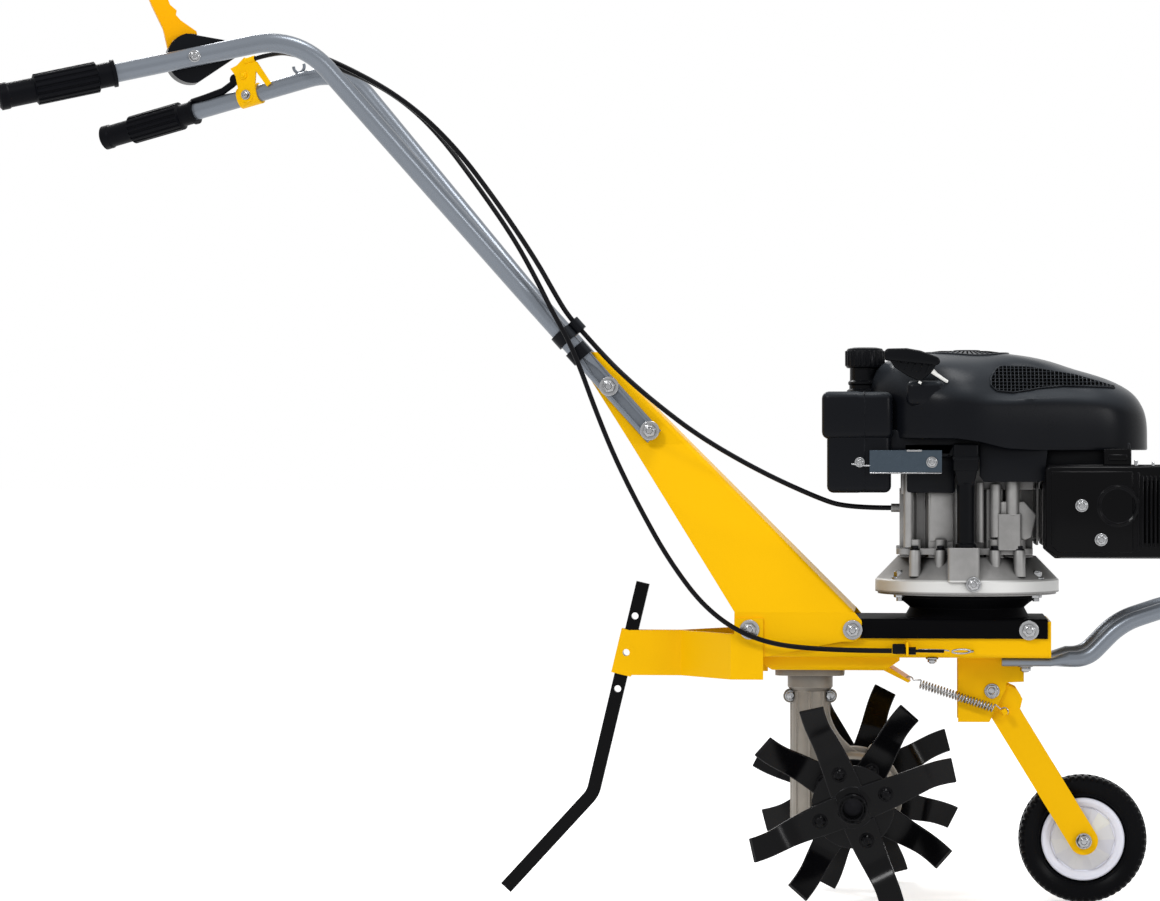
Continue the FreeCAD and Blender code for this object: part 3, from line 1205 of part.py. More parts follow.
def main():
    fill_sheet()
    sets = [
        tine_set("tine_set_right_inner", -1, "inner_set", "28"),
        tine_set("tine_set_right_outer", -1, "outer_set", "64"),
        tine_set("tine_set_left_inner", 1, "inner_set", "13.5"),
        tine_set("tine_set_left_outer", 1, "outer_set", "62")]
    set_size("axle_height", val("axle_height") - lowest(sets))
    for build in (
            tine_shaft, chassis_tray, engine_deck, gearbox_plate, gearbox_housing, wheel_tyre, wheel_hub,
            wheel_fork, wheel_bracket, wheel_spring, front_bumper, handle_column, throttle_housing,
            throttle_lever, clutch_bracket, clutch_lever, cable_clips, throttle_cable, clutch_cable,
            cable_adjuster, clutch_rod, drag_bar, drag_bar_bracket, engine_crankcase, engine_cylinder,
            blower_housing, fuel_tank, fuel_cap, recoil_handle, oil_filler, muffler, air_filter,
            carburettor, control_plate, spark_plug_boot):
        build()
    for side, word in ((-1, "right"), (1, "left")):
        tine_hub("tine_hub_" + word, side)
        handlebar("handlebar_" + word, side)
        grip("grip_" + word, side)
    cross_bolt("wheel_axle", "wheel_ahead", "wheel_radius", "axle_radius", "arm_half",
               "axle_head", "axle_head_wall")
    cross_bolt("arm_pivot_bolt", "pivot_ahead", "pivot_height", "pivot_radius", "bracket_half",
               "pivot_head", "pivot_head_wall")
    settle()
    save()


main()
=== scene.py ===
"""Looks of a walk-behind garden tiller, laid out as an add-on and run as a script."""

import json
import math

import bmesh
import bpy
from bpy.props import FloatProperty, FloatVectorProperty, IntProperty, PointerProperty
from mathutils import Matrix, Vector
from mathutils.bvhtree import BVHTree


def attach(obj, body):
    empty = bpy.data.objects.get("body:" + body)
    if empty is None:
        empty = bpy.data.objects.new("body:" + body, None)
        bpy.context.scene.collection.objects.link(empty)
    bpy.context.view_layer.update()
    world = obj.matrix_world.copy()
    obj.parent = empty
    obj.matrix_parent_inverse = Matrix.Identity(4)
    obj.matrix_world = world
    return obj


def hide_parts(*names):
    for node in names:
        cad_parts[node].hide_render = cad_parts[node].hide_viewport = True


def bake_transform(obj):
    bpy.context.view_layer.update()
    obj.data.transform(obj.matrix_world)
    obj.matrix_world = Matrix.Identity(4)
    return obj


bl_info = {
    "name": "Garden tiller looks",
    "version": (1, 0, 0),
    "blender": (4, 5, 0),
    "location": "View3D > Sidebar > Tiller",
    "description": "Finishes and fine pieces of a walk-behind garden tiller",
    "category": "Object",
}

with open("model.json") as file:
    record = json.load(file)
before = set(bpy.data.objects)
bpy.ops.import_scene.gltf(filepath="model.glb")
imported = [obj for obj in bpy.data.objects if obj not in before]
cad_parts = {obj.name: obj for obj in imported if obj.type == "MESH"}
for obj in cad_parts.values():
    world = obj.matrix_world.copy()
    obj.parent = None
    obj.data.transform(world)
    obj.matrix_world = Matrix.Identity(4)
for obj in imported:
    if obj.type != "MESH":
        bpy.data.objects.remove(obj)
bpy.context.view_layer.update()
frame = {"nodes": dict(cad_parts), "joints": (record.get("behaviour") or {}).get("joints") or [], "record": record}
NODES = frame["nodes"]
JOINTS = {joint["name"]: joint for joint in frame["joints"]}
SLOTS = {entry["node"]: entry["material_slot"] for entry in frame["record"]["subparts"]}
AXLE = Vector(JOINTS["tine_spin"]["pos_m"])
MM = 0.001
SHARP = math.radians(28)
SIDES = (-1, 1)
DOWN, UP, LEFT, RIGHT = (0, 0, -1), (0, 0, 1), (0, 1, 0), (0, -1, 0)


def at(x, y, z):
    """A place given in millimetres from the ground under the tine axle."""
    return Vector((AXLE.x + x * MM, y * MM, z * MM))


def from_frame(place):
    """A place of the frame, in metres, as millimetres from the ground under the tine axle."""
    return Vector((place[0] - AXLE.x, place[1], place[2])) / MM


TINE_AXLE = from_frame(AXLE)
WHEEL = from_frame(JOINTS["wheel_spin"]["pos_m"])
PIVOT = from_frame(JOINTS["arm_fold"]["pos_m"])
TO_FRAME = Matrix.Translation((AXLE.x, 0.0, 0.0)) @ Matrix.Scale(MM, 4)


# ---- sizes and colours

COLOUR = {"subtype": "COLOR", "size": 3, "min": 0.0, "max": 1.0}


class TillerColours(bpy.types.PropertyGroup):
    """Colours of the tiller's finishes."""
    yellow: FloatVectorProperty(
        name="Yellow coat", description="Powder coat of the chassis, the column and the arm",
        default=(0.92, 0.505, 0.001), **COLOUR)
    black: FloatVectorProperty(
        name="Black coat", description="Gloss coat of the tines, the deck and the silencer",
        default=(0.0025, 0.0025, 0.003), **COLOUR)
    grey: FloatVectorProperty(
        name="Grey coat", description="Satin coat of the handlebars and the bumper",
        default=(0.175, 0.195, 0.225), **COLOUR)
    alloy: FloatVectorProperty(
        name="Cast alloy", description="Blasted castings of the engine",
        default=(0.35, 0.345, 0.34), **COLOUR)
    moulding: FloatVectorProperty(
        name="Black moulding", description="Grained plastic of the blower housing and the tank",
        default=(0.0035, 0.004, 0.0055), **COLOUR)
    wheel: FloatVectorProperty(
        name="Wheel disc", description="Smooth ring of the transport wheel's disc",
        default=(0.66, 0.67, 0.76), **COLOUR)


class TillerSizes(bpy.types.PropertyGroup):
    """Sizes of the fine pieces."""
    tread_blocks: IntProperty(
        name="Tread blocks", description="Blocks round the shoulder of the wheel's tyre",
        default=56, min=12, max=120)
    tread_depth: FloatProperty(
        name="Tread depth", description="Depth of the gaps between the blocks",
        default=0.0016, min=0.0005, max=0.005, unit="LENGTH")
    hub_facets: IntProperty(
        name="Hub facets", description="Flats round the wheel's disc", default=10, min=6, max=24)
    grille_pitch: FloatProperty(
        name="Grille pitch", description="Distance between the bars of the air intake",
        default=0.0046, min=0.003, max=0.012, unit="LENGTH")
    ledge_depth: FloatProperty(
        name="Ledge depth", description="How far the blower housing's waist stands out",
        default=0.012, min=0.0, max=0.018, unit="LENGTH")
    spring_wire: FloatProperty(
        name="Spring wire", description="Thickness of the arm spring's wire",
        default=0.0017, min=0.001, max=0.003, unit="LENGTH")
    spring_turns: IntProperty(
        name="Spring turns", description="Turns of the arm's spring", default=25, min=10, max=60)
    bolt_head: FloatProperty(
        name="Bolt head", description="Half the width across corners of a chassis bolt's head",
        default=0.0079, min=0.004, max=0.012, unit="LENGTH")
    washer: FloatProperty(
        name="Washer", description="Radius of the washer under a chassis bolt",
        default=0.0115, min=0.006, max=0.016, unit="LENGTH")


def sizes():
    return bpy.context.scene.tiller_sizes


# ---- shader maths

class Value:
    """One shader socket that takes part in arithmetic."""

    def __init__(self, shader, socket):
        self.shader = shader
        self.socket = socket

    def _with(self, operation, first, second):
        return self.shader.node("ShaderNodeMath", {"operation": operation}, {0: first, 1: second})

    def __add__(self, other):
        return self._with("ADD", self, other)

    def __sub__(self, other):
        return self._with("SUBTRACT", self, other)

    def __rsub__(self, other):
        return self._with("SUBTRACT", other, self)

    def __mul__(self, other):
        return self._with("MULTIPLY", self, other)

    __radd__ = __add__
    __rmul__ = __mul__

    def clamped(self):
        return self.shader.node("ShaderNodeClamp", {}, {0: self})


class Shader:
    """The nodes of a material or a world, built by expressions."""

    def __init__(self, owner, main="Principled BSDF"):
        owner.use_nodes = True
        self.tree = owner.node_tree
        self.main = self.tree.nodes[main]

    def feed(self, socket, value):
        """Links a value to a socket, or sets the socket to a number or colour."""
        if isinstance(value, Value):
            self.tree.links.new(value.socket, socket)
        elif hasattr(value, "__len__") and len(socket.default_value) == 4 and len(value) == 3:
            socket.default_value = (*value, 1.0)
        else:
            socket.default_value = value

    def node(self, kind, settings, inputs, output=0):
        """Any node: its settings come first, then its sockets, and one output comes back."""
        node = self.tree.nodes.new(kind)
        for key, value in settings.items():
            setattr(node, key, value)
        for key, value in inputs.items():
            self.feed(node.inputs[key], value)
        return Value(self, node.outputs[output])

    def place(self):
        """The place in the object, in metres of the frame."""
        return self.node("ShaderNodeTexCoord", {}, {}, "Object")

    def normal(self):
        return self.node("ShaderNodeNewGeometry", {}, {}, "Normal")

    def height_of(self, vector):
        return self.node("ShaderNodeSeparateXYZ", {}, {0: vector}, "Z")

    def noise(self, scale, detail=3.0, rough=0.5, stretch=(1.0, 1.0, 1.0)):
        """Noise that lies in the object, drawn out along an axis where stretch is under 1."""
        place = self.node("ShaderNodeVectorMath", {"operation": "MULTIPLY"}, {0: self.place(), 1: stretch})
        return self.node("ShaderNodeTexNoise", {}, {
            "Vector": place, "Scale": scale, "Detail": detail, "Roughness": rough}, "Fac")

    def mix(self, share, first, second):
        return self.node("ShaderNodeMix", {"data_type": "RGBA"}, {0: share, 6: first, 7: second}, 2)

    def rounded(self, radius):
        """Normals of the surface as if its edges were rounded by this radius."""
        return self.node("ShaderNodeBevel", {"samples": 4}, {"Radius": radius}, "Normal")

    def edges(self, rounded):
        """How much a place is on an edge: 0 on flats and towards 1 on a corner."""
        same = self.node("ShaderNodeVectorMath", {"operation": "DOT_PRODUCT"},
                         {0: rounded, 1: self.normal()}, "Value")
        return ((1.0 - same) * 6.0).clamped()

    def painted_shade_mask(self, reach):
        """How closed in a place is, as the mask for painted shade: 0 in the open and towards 1 in a corner."""
        opening = self.node("ShaderNodeAmbientOcclusion", {"samples": 6}, {"Distance": reach}, "AO")
        return ((1.0 - opening) * 1.5 - 0.25).clamped()

    def bump(self, height, distance, strength, normal=None):
        inputs = {"Height": height, "Distance": distance, "Strength": strength}
        if normal is not None:
            inputs["Normal"] = normal
        return self.node("ShaderNodeBump", {}, inputs, "Normal")

    def seen_directly(self):
        """1 for what the camera, glass or gloss sees, and 0 for light that only scatters."""
        camera, gloss, glass = (self.node("ShaderNodeLightPath", {}, {}, "Is %s Ray" % kind)
                                for kind in ("Camera", "Glossy", "Transmission"))
        return (camera + gloss + glass).clamped()

    def finish(self, **sockets):
        """Feeds the main node; underscores in a name stand for spaces."""
        for name, value in sockets.items():
            self.feed(self.main.inputs[name.replace("_", " ")], value)


# ---- finishes

FLANGE_FOOT, FLANGE_TOP = 0.3712, 0.3865
DISC_SECTORS = 12.0


def shade(colour, factor):
    """A colour made darker or paler."""
    return tuple(min(1.0, part * factor) for part in colour)


def about(middle, noise, spread):
    """A value that varies with a noise, evenly about its middle."""
    return middle + (noise - 0.5) * spread


def powder_coat(shader, colour, rough, gloss, peel, edge_wear_and_highlight):
    """Powder coat: fine orange peel, slow changes of tone, thin and pale at the edges, where the paleness is
    partly a worn coat and partly a painted highlight.
    """
    dust_and_sheen = shader.noise(60.0, 4.0, 0.65)
    round_edge = shader.rounded(0.0009)
    flat = shader.mix(shader.noise(7.0, 2.0), colour, shade(colour, 0.93))
    shader.finish(
        # Paler edges: partly a worn coat, partly a painted highlight.
        Base_Color=shader.mix(shader.edges(round_edge), flat, shade(colour, edge_wear_and_highlight)),
        Roughness=about(rough, dust_and_sheen, 0.12), Specular_IOR_Level=gloss,
        Normal=shader.bump(shader.noise(850.0, 2.0), 0.0001, peel, round_edge))


def blasted_casting(shader, colour, flange=None):
    """Blasted casting: grain in the tone, the gloss and the face, painted shade in hollows and corners, edges
    painted paler as a highlight and partly worn bright, a turned flange.
    """
    grain = shader.noise(1300.0, 3.0, 0.7)
    stain = shader.noise(24.0, 5.0, 0.62)
    round_edge = shader.rounded(0.0012)
    body = shader.mix((stain * 1.6 - 0.35).clamped(), colour, shade(colour, 0.6))
    if flange:
        height = shader.height_of(shader.place())
        turned = ((FLANGE_TOP - height) * 900.0).clamped() * ((height - FLANGE_FOOT) * 900.0).clamped()
        body = shader.mix(turned, body, flange)
    # Painted shade: darker in hollows, and darker still deep in corners, where shade falls.
    painted_hollow_shade = shader.mix(shader.painted_shade_mask(0.045) * 0.75, body, shade(colour, 0.3))
    painted_corner_shade = shader.mix(shader.painted_shade_mask(0.012), painted_hollow_shade, shade(colour, 0.08))
    shader.finish(
        # Paler edges: partly worn bright, partly a painted highlight.
        Base_Color=shader.mix(shader.edges(round_edge), painted_corner_shade, shade(colour, 1.45)),
        Roughness=0.36 + grain * 0.2, Metallic=0.45, Specular_IOR_Level=0.3,
        Normal=shader.bump(grain, 0.0003, 0.45, round_edge))


def moulding(shader, colour, rough, gloss, grain_scale, depth, edge, dust_and_sheen=None):
    """Moulded plastic or rubber: fine spark-eroded grain, a paler edge that is partly worn and partly a painted
    highlight, and, where a top colour is given, a painted sheen of light from above on what faces up, partly a
    dusty film.
    """
    grain = shader.noise(grain_scale, 2.0, 0.6)
    handling = shader.noise(11.0, 4.0, 0.6)
    round_edge = shader.rounded(0.001)
    flat = shader.mix(handling, colour, shade(colour, 1.35))
    if dust_and_sheen:
        up = shader.height_of(shader.normal())
        # Painted sheen: paler where the surface faces up, as if lit from above, partly a dusty film.
        flat = shader.mix(((up - 0.2) * 1.5).clamped() * (0.55 + handling * 0.45), flat, dust_and_sheen)
    shader.finish(
        # Paler edges: partly worn, partly a painted highlight.
        Base_Color=shader.mix(shader.edges(round_edge) * 0.5, flat, shade(colour, edge)),
        Roughness=about(about(rough, handling, 0.12), grain, 0.08), Specular_IOR_Level=gloss,
        Normal=shader.bump(grain, depth, 0.55, round_edge))


def facet_shaded_disc(shader, first, second):
    """Moulded disc whose sectors are painted slightly lighter and darker, as the light and shade that would fall
    on facets.
    """
    place = shader.node("ShaderNodeVectorMath", {"operation": "SUBTRACT"},
                        {0: shader.place(), 1: tuple(at(WHEEL.x, 0, WHEEL.z))})
    place = shader.node("ShaderNodeVectorRotate", {"rotation_type": "X_AXIS"},
                        {"Vector": place, "Angle": math.pi / 2})
    turn = shader.node("ShaderNodeTexGradient", {"gradient_type": "RADIAL"}, {"Vector": place}, "Fac")
    sector = shader.node("ShaderNodeMath", {"operation": "FLOOR"}, {0: turn * DISC_SECTORS})
    # Painted light and shade: each sector's tone stands for how light falls on a facet.
    tone = shader.node("ShaderNodeTexWhiteNoise", {"noise_dimensions": "1D"}, {"W": sector}, "Value")
    shader.finish(
        Base_Color=shader.mix(tone, first, second), Roughness=0.26 + tone * 0.12, Specular_IOR_Level=0.35,
        Normal=shader.bump(shader.noise(1500.0, 2.0), 0.00006, 0.4, shader.rounded(0.0008)))


def zinc_plate(shader, colour, rough):
    """Zinc plate: its edges painted bright as a highlight and partly worn bright, with soft clouding, drawing
    marks and painted shade in the corners.
    """
    cloud = shader.noise(180.0, 3.0, 0.6)
    marks = shader.noise(900.0, 2.0, 0.5, stretch=(0.15, 1.0, 1.0))
    round_edge = shader.rounded(0.0004)
    flat = shader.mix(cloud, colour, shade(colour, 0.72))
    # Painted shade: darker deep in corners.
    painted_corner_shade = shader.mix(shader.painted_shade_mask(0.004), flat, shade(colour, 0.12))
    shader.finish(
        # Paler edges: partly worn bright, partly a painted highlight.
        Base_Color=shader.mix(shader.edges(round_edge), painted_corner_shade, shade(colour, 1.7)),
        Roughness=about(rough, cloud, 0.18), Metallic=1.0,
        Normal=shader.bump(marks, 0.00006, 0.4, round_edge))


def coated_tube(shader, colour):
    """Satin grey coat over a drawn tube."""
    broad = shader.noise(6.0, 2.0)
    shader.finish(
        Base_Color=shader.mix(broad, colour, shade(colour, 0.88)),
        Roughness=about(0.3, broad, 0.1), Metallic=0.5, Specular_IOR_Level=0.3,
        Normal=shader.bump(shader.noise(1200.0, 2.0), 0.00008, 0.3))


# Colour painted on black plastic where it faces up, a sheen of light from above and partly a dusty film; colour of
# the turned flange.
DUST_AND_TOP_SHEEN, FLANGE = (0.042, 0.048, 0.056), (0.6, 0.6, 0.59)


def finishes():
    """Each finish: the function that makes it and what that function takes after the shader."""
    paint = bpy.context.scene.tiller_colours
    return {
        # colour, rough, gloss, peel, paleness of the edges (partly worn coat, partly painted highlight)
        "yellow_paint": (powder_coat, paint.yellow, 0.34, 0.06, 0.35, 1.15),
        "black_paint": (powder_coat, paint.black, 0.15, 0.06, 0.25, 5.0),
        "deck_paint": (powder_coat, paint.black, 0.55, 0.02, 0.25, 5.0),
        "tine_paint": (powder_coat, paint.black, 0.17, 0.1, 0.2, 8.0),
        # colour, rough, gloss, grain scale, grain depth, paleness of the edge (partly worn, partly painted
        # highlight), colour of what faces up (painted sheen, partly a dusty film)
        "black_plastic": (moulding, paint.moulding, 0.3, 0.075, 900.0, 0.0001, 2.6, DUST_AND_TOP_SHEEN),
        "grip_plastic": (moulding, shade(paint.moulding, 0.6), 0.3, 0.07, 1300.0, 0.00008, 2.6),
        "white_plastic": (moulding, paint.wheel, 0.32, 0.3, 900.0, 0.0001, 1.15),
        "yellow_plastic": (moulding, (0.8, 0.35, 0.0008), 0.3, 0.07, 900.0, 0.0001, 1.3),
        "black_rubber": (moulding, (0.0022, 0.0024, 0.0036), 0.4, 0.05, 1400.0, 0.0001, 2.6),
        "tyre_rubber": (moulding, (0.0018, 0.0019, 0.0025), 0.3, 0.045, 1600.0, 0.0001, 2.6),
        "cable_sheath": (moulding, (0.003, 0.003, 0.004), 0.3, 0.08, 1500.0, 0.00004, 2.6),
        "intake_shadow": (moulding, (0.0005, 0.0005, 0.0005), 0.85, 0.02, 900.0, 0.0001, 1.0),
        "starter_rope": (moulding, (0.72, 0.72, 0.7), 0.8, 0.2, 2400.0, 0.0004, 1.1),
        # colour, rough
        "zinc_steel": (zinc_plate, (0.36, 0.365, 0.375), 0.24),
        "blued_zinc": (zinc_plate, (0.062, 0.082, 0.104), 0.3),
        "dark_steel": (zinc_plate, (0.014, 0.014, 0.016), 0.34),
        # colour or colours
        "grey_paint": (coated_tube, paint.grey),
        "cast_alloy": (blasted_casting, paint.alloy),
        # Darker and warmer than the engine's alloy: painted shade and a painted reflection of the yellow chassis.
        "leg_casting": (blasted_casting, (0.3, 0.275, 0.24)),
        "sump_casting": (blasted_casting, shade(paint.alloy, 0.9), FLANGE),
        "disc_plastic": (facet_shaded_disc, (0.72, 0.71, 0.66), (0.6, 0.6, 0.66)),
    }


OWN_FINISH = {"control_plate": "blued_zinc", "engine_deck": "deck_paint",
              "engine_crankcase": "sump_casting", "gearbox_housing": "leg_casting"}
_made = {}


def material(name):
    """The finish of a slot, made once."""
    if name not in _made:
        _made[name] = bpy.data.materials.new(name)
        make, *settings = finishes()[name]
        make(Shader(_made[name]), *settings)
    return _made[name]


# ---- parts of pieces

def solid(rings):
    """A closed part that grows out of its first ring of points through the others."""
    part = bmesh.new()
    end = part.faces.new([part.verts.new(point) for point in rings[0]])
    for number, ring in enumerate(rings[1:]):
        grown = bmesh.ops.extrude_face_region(part, geom=[end])
        if number:
            bmesh.ops.delete(part, geom=[end], context="FACES_ONLY")
        end = next(item for item in grown["geom"] if isinstance(item, bmesh.types.BMFace))
        for vert, point in zip(end.verts, ring):
            vert.co = point
    bmesh.ops.recalc_face_normals(part, faces=part.faces)
    return part


def arc(centre, radius, first, last, steps):
    """Points on an arc, in degrees from the first axis to the second."""
    angles = [math.radians(first + (last - first) * step / steps) for step in range(steps + 1)]
    return [(centre[0] + radius * math.cos(angle), centre[1] + radius * math.sin(angle)) for angle in angles]


def straight(first, last, steps):
    """Points on a straight line between two places, without its ends."""
    return [tuple(a + (b - a) * step / steps for a, b in zip(first, last)) for step in range(1, steps)]


def polygon(count, radius, turn=0.0):
    """Corners of a regular polygon."""
    return arc((0, 0), radius, turn, turn + 360.0, count)[:-1]


def taper(sides, levels, turn=0.0, squash=1.0):
    """A part about Z with a polygon for its section, through (radius, height) levels."""
    return solid([[(a, b * squash, height) for a, b in polygon(sides, radius, turn)]
                  for radius, height in levels])


def lathe(profile, steps):
    """A turned part about Z from (radius, height) points."""
    part = bmesh.new()
    verts = [part.verts.new((radius, 0.0, height)) for radius, height in profile]
    edges = [part.edges.new(pair) for pair in zip(verts, verts[1:])]
    bmesh.ops.spin(part, geom=verts + edges, cent=(0, 0, 0), axis=UP, angle=2 * math.pi,
                   steps=steps, use_merge=True, use_normal_flip=False, use_duplicate=False)
    bmesh.ops.remove_doubles(part, verts=part.verts, dist=0.001)
    bmesh.ops.recalc_face_normals(part, faces=part.faces)
    return part


def sheet_over(columns, rows, place, thickness):
    """A thin panel whose points lie where place(u, v) says, with u and v from 0 to 1."""
    part = bmesh.new()
    bmesh.ops.create_grid(part, x_segments=columns, y_segments=rows, size=0.5)
    for vert in part.verts:
        vert.co = place(vert.co.x + 0.5, vert.co.y + 0.5)
    bmesh.ops.solidify(part, geom=part.faces, thickness=thickness)
    return part


def aimed(place, direction):
    """The matrix that puts a part's foot at a place, with its Z along a direction."""
    return Matrix.Translation(Vector(place)) @ Vector(direction).to_track_quat("Z", "Y").to_matrix().to_4x4()


def outward(side, x, across, z):
    """The matrix of a place on one side of the machine, with Z pointing away from it."""
    return aimed((x, side * across, z), (0, side, 0))


def spun(degrees, axis="Z"):
    return Matrix.Rotation(math.radians(degrees), 4, axis)


def between(table, x):
    """The value of a table of (x, value) pairs at x, on straight lines through them."""
    if x <= table[0][0]:
        return table[0][1]
    for (x0, y0), (x1, y1) in zip(table, table[1:]):
        if x <= x1:
            return y0 + (y1 - y0) * ((x - x0) / (x1 - x0))
    return table[-1][1]


def eased(share):
    """A share from 0 to 1, slow at both ends."""
    share = max(0.0, min(1.0, share))
    return share * share * (3 - 2 * share)


def over(span, value):
    """How far a value is past a span's start, eased over the span's length."""
    start, length = span
    return eased((value - start) / length)


class Piece:
    """Parts gathered into one object, in millimetres from the ground under the tine axle."""

    def __init__(self, name, slot, stands_for=(), body="root"):
        self.name = name
        self.slot = slot
        self.stands_for = stands_for
        self.body = body
        self.shape = bmesh.new()

    def add(self, part, rounding=0.0, segments=2, matrix=None):
        """Takes a part in, with its sharp edges rounded, turned and moved by a matrix."""
        if rounding:
            sharp = [edge for edge in part.edges if edge.is_manifold and edge.calc_face_angle() > SHARP]
            bmesh.ops.bevel(part, geom=sharp, offset=rounding, offset_type="OFFSET", segments=segments,
                            profile=0.5, affect="EDGES", material=-1, clamp_overlap=True)
        if matrix is not None:
            bmesh.ops.transform(part, matrix=matrix, verts=part.verts)
        mesh = bpy.data.meshes.new("part")
        part.to_mesh(mesh)
        part.free()
        self.shape.from_mesh(mesh)
        bpy.data.meshes.remove(mesh)

    def block(self, corner, opposite, rounding, segments=2, matrix=None):
        """A block between two opposite corners."""
        part = bmesh.new()
        bmesh.ops.create_cube(part, size=1.0)
        bmesh.ops.scale(part, vec=[abs(b - a) for a, b in zip(corner, opposite)], verts=part.verts)
        bmesh.ops.translate(part, vec=(Vector(corner) + Vector(opposite)) / 2, verts=part.verts)
        self.add(part, rounding, segments, matrix)

    def plate(self, outline, near, far, rounding, segments=2, matrix=None):
        """A plate whose outline lies in the XZ plane, from near to far along Y."""
        self.add(solid([[(x, y, z) for x, z in outline] for y in (near, far)]), rounding, segments, matrix)

    def turned(self, profile, matrix, steps=40):
        """A turned part about the matrix's Z from (radius, height) points."""
        self.add(lathe(profile, steps), matrix=matrix)

    def bar(self, path, radius, sides=10, radii=None):
        """A round bar along a path, closed at both ends; radii may give each point its own."""
        points = [Vector(point) for point in path]
        last = len(points) - 1
        across = (points[1] - points[0]).orthogonal().normalized()
        rings = []
        for index, point in enumerate(points):
            along = (points[min(index + 1, last)] - points[max(index - 1, 0)]).normalized()
            across = (across - along * across.dot(along)).normalized()
            other = along.cross(across)
            size = radii[index] if radii else radius
            rings.append([point + (across * a + other * b) * size for a, b in polygon(sides, 1.0)])
        self.add(solid(rings))

    def bolt(self, matrix, head, washer, tall, stud=True):
        """A hexagon head or nut on its washer, with the end of its thread in the middle."""
        wall = 1.8
        top = wall + tall
        self.turned([(0, 0), (washer, 0), (washer, 1.4), (washer - 0.5, wall), (0, wall)], matrix)
        self.add(taper(6, ((head, wall), (head, top)), 11.0), 0.7, 2, matrix)
        if stud:
            self.turned([(0, top), (0.66 * head, top), (0.66 * head, top + 0.9), (0.55 * head, top + 1.3),
                         (0.44 * head, top + 0.6), (0.42 * head, top + 1.6), (0, top + 1.8)], matrix, 24)

    def done(self, smooth=32.0, finish=None):
        """Makes the object, lets it ride on its body and gives it its finish."""
        bmesh.ops.recalc_face_normals(self.shape, faces=self.shape.faces)
        bmesh.ops.transform(self.shape, matrix=TO_FRAME, verts=self.shape.verts)
        mesh = bpy.data.meshes.new(self.name)
        self.shape.to_mesh(mesh)
        self.shape.free()
        if not mesh.polygons:
            raise RuntimeError(self.name + " has no faces")
        mesh.shade_smooth()
        mesh.set_sharp_from_angle(angle=math.radians(smooth))
        return settle(placed(self.name, mesh), self.body, self.slot, self.stands_for, finish)


def placed(name, data):
    """A new object in the scene."""
    made = bpy.data.objects.new(name, data)
    bpy.context.scene.collection.objects.link(made)
    return made


def settle(piece, body, slot, stands_for=(), finish=None):
    """Lets an object ride on its body, with the finish of its slot."""
    piece.data.materials.append(material(finish or slot))
    if body:
        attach(piece, body)
    if stands_for:
        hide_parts(*stands_for)
    return piece


# ---- cables

THROTTLE_ROUTE = (
    (-709.9, -189.3, 1004.5), (-667.9, -176.7, 1014.6), (-602, -158, 992), (-528, -136, 952),
    (-469, -120, 898), (-418, -101, 829), (-376, -74, 764), (-355, -52, 724), (-340, -46, 698.5),
    (-318, -46, 674), (-299, -50, 653), (-273, -60, 627), (-232, -70, 592), (-180, -78, 553),
    (-112, -82, 514), (-45, -80, 483), (-8, -57, 470), (44, -57, 470))
CLUTCH_ROUTE = (
    (-760.9, 218.0, 1034.6), (-732.9, 209.6, 1041.3), (-697, 145, 1032), (-640, 88, 1010),
    (-590, 46, 989), (-541, 10, 958), (-498, -12, 917), (-453, -30, 859), (-406, -46, 793),
    (-377, -57, 742), (-356, -66, 701), (-337, -71, 668), (-322, -76, 633), (-305, -84, 588),
    (-282, -91, 532), (-253, -98, 474), (-216, -102, 408), (-170, -105, 348), (-112, -102, 313),
    (-33, -92, 303), (45, -92, 303))
CABLE_WIDTH = 0.006


def make_cable(name, route, node):
    """A sheathed cable along its route, as one smooth line."""
    curve = bpy.data.curves.new(name, "CURVE")
    curve.dimensions = "3D"
    curve.bevel_depth = CABLE_WIDTH / 2
    curve.bevel_resolution = 3
    curve.use_fill_caps = True
    line = curve.splines.new("NURBS")
    line.points.add(len(route) - 1)
    for point, place in zip(line.points, route):
        point.co = (*at(*place), 1.0)
    line.order_u = 3
    line.use_endpoint_u = True
    line.resolution_u = 10
    cable = settle(placed(name, curve), "root", "black_plastic", [node], "cable_sheath")


# ---- wheel

BLOCK_STEPS = 4  # steps of the tyre's turning for one block and the gap beside it


def make_tyre():
    """Tyre with a blocked shoulder and a bead line on each side."""
    centre = aimed(WHEEL, LEFT)
    depth = sizes().tread_depth / MM
    steps = sizes().tread_blocks * BLOCK_STEPS
    half = [(49, 0), (49, 9), (50.5, 11.5), (53, 13), (58, 15.5), (64, 18), (69, 18.8), (72.5, 17.2),
            (75, 13.5), (75.6, 9), (75.8, 5), (73.9, 4.4), (73.9, 2.6), (75.9, 2), (76, 0)]
    profile = [(radius, -across) for radius, across in half] + half[-2::-1]
    tyre = lathe(profile[::-1], steps)
    for vert in tyre.verts:
        radius = math.hypot(vert.co.x, vert.co.y)
        step = round(math.atan2(vert.co.y, vert.co.x) / (2 * math.pi) * steps)
        stagger = BLOCK_STEPS // 2 if vert.co.z > 0 else 0
        if radius > 70 and abs(vert.co.z) > 4.6 and (step + stagger) % BLOCK_STEPS == 0:
            vert.co.xy *= 1 - depth / radius
            vert.co.z -= math.copysign(depth * 0.5, vert.co.z)
    piece = Piece("tyre", "tyre_rubber", ["wheel_tyre"], "front_wheel")
    piece.add(tyre, matrix=centre)
    for side in SIDES:
        bead = [(51.4, side * 12.2), (52.2, side * 14.2), (53.4, side * 14.6), (54.2, side * 13.4)]
        piece.turned(bead, centre, 72)
    piece.done(26)


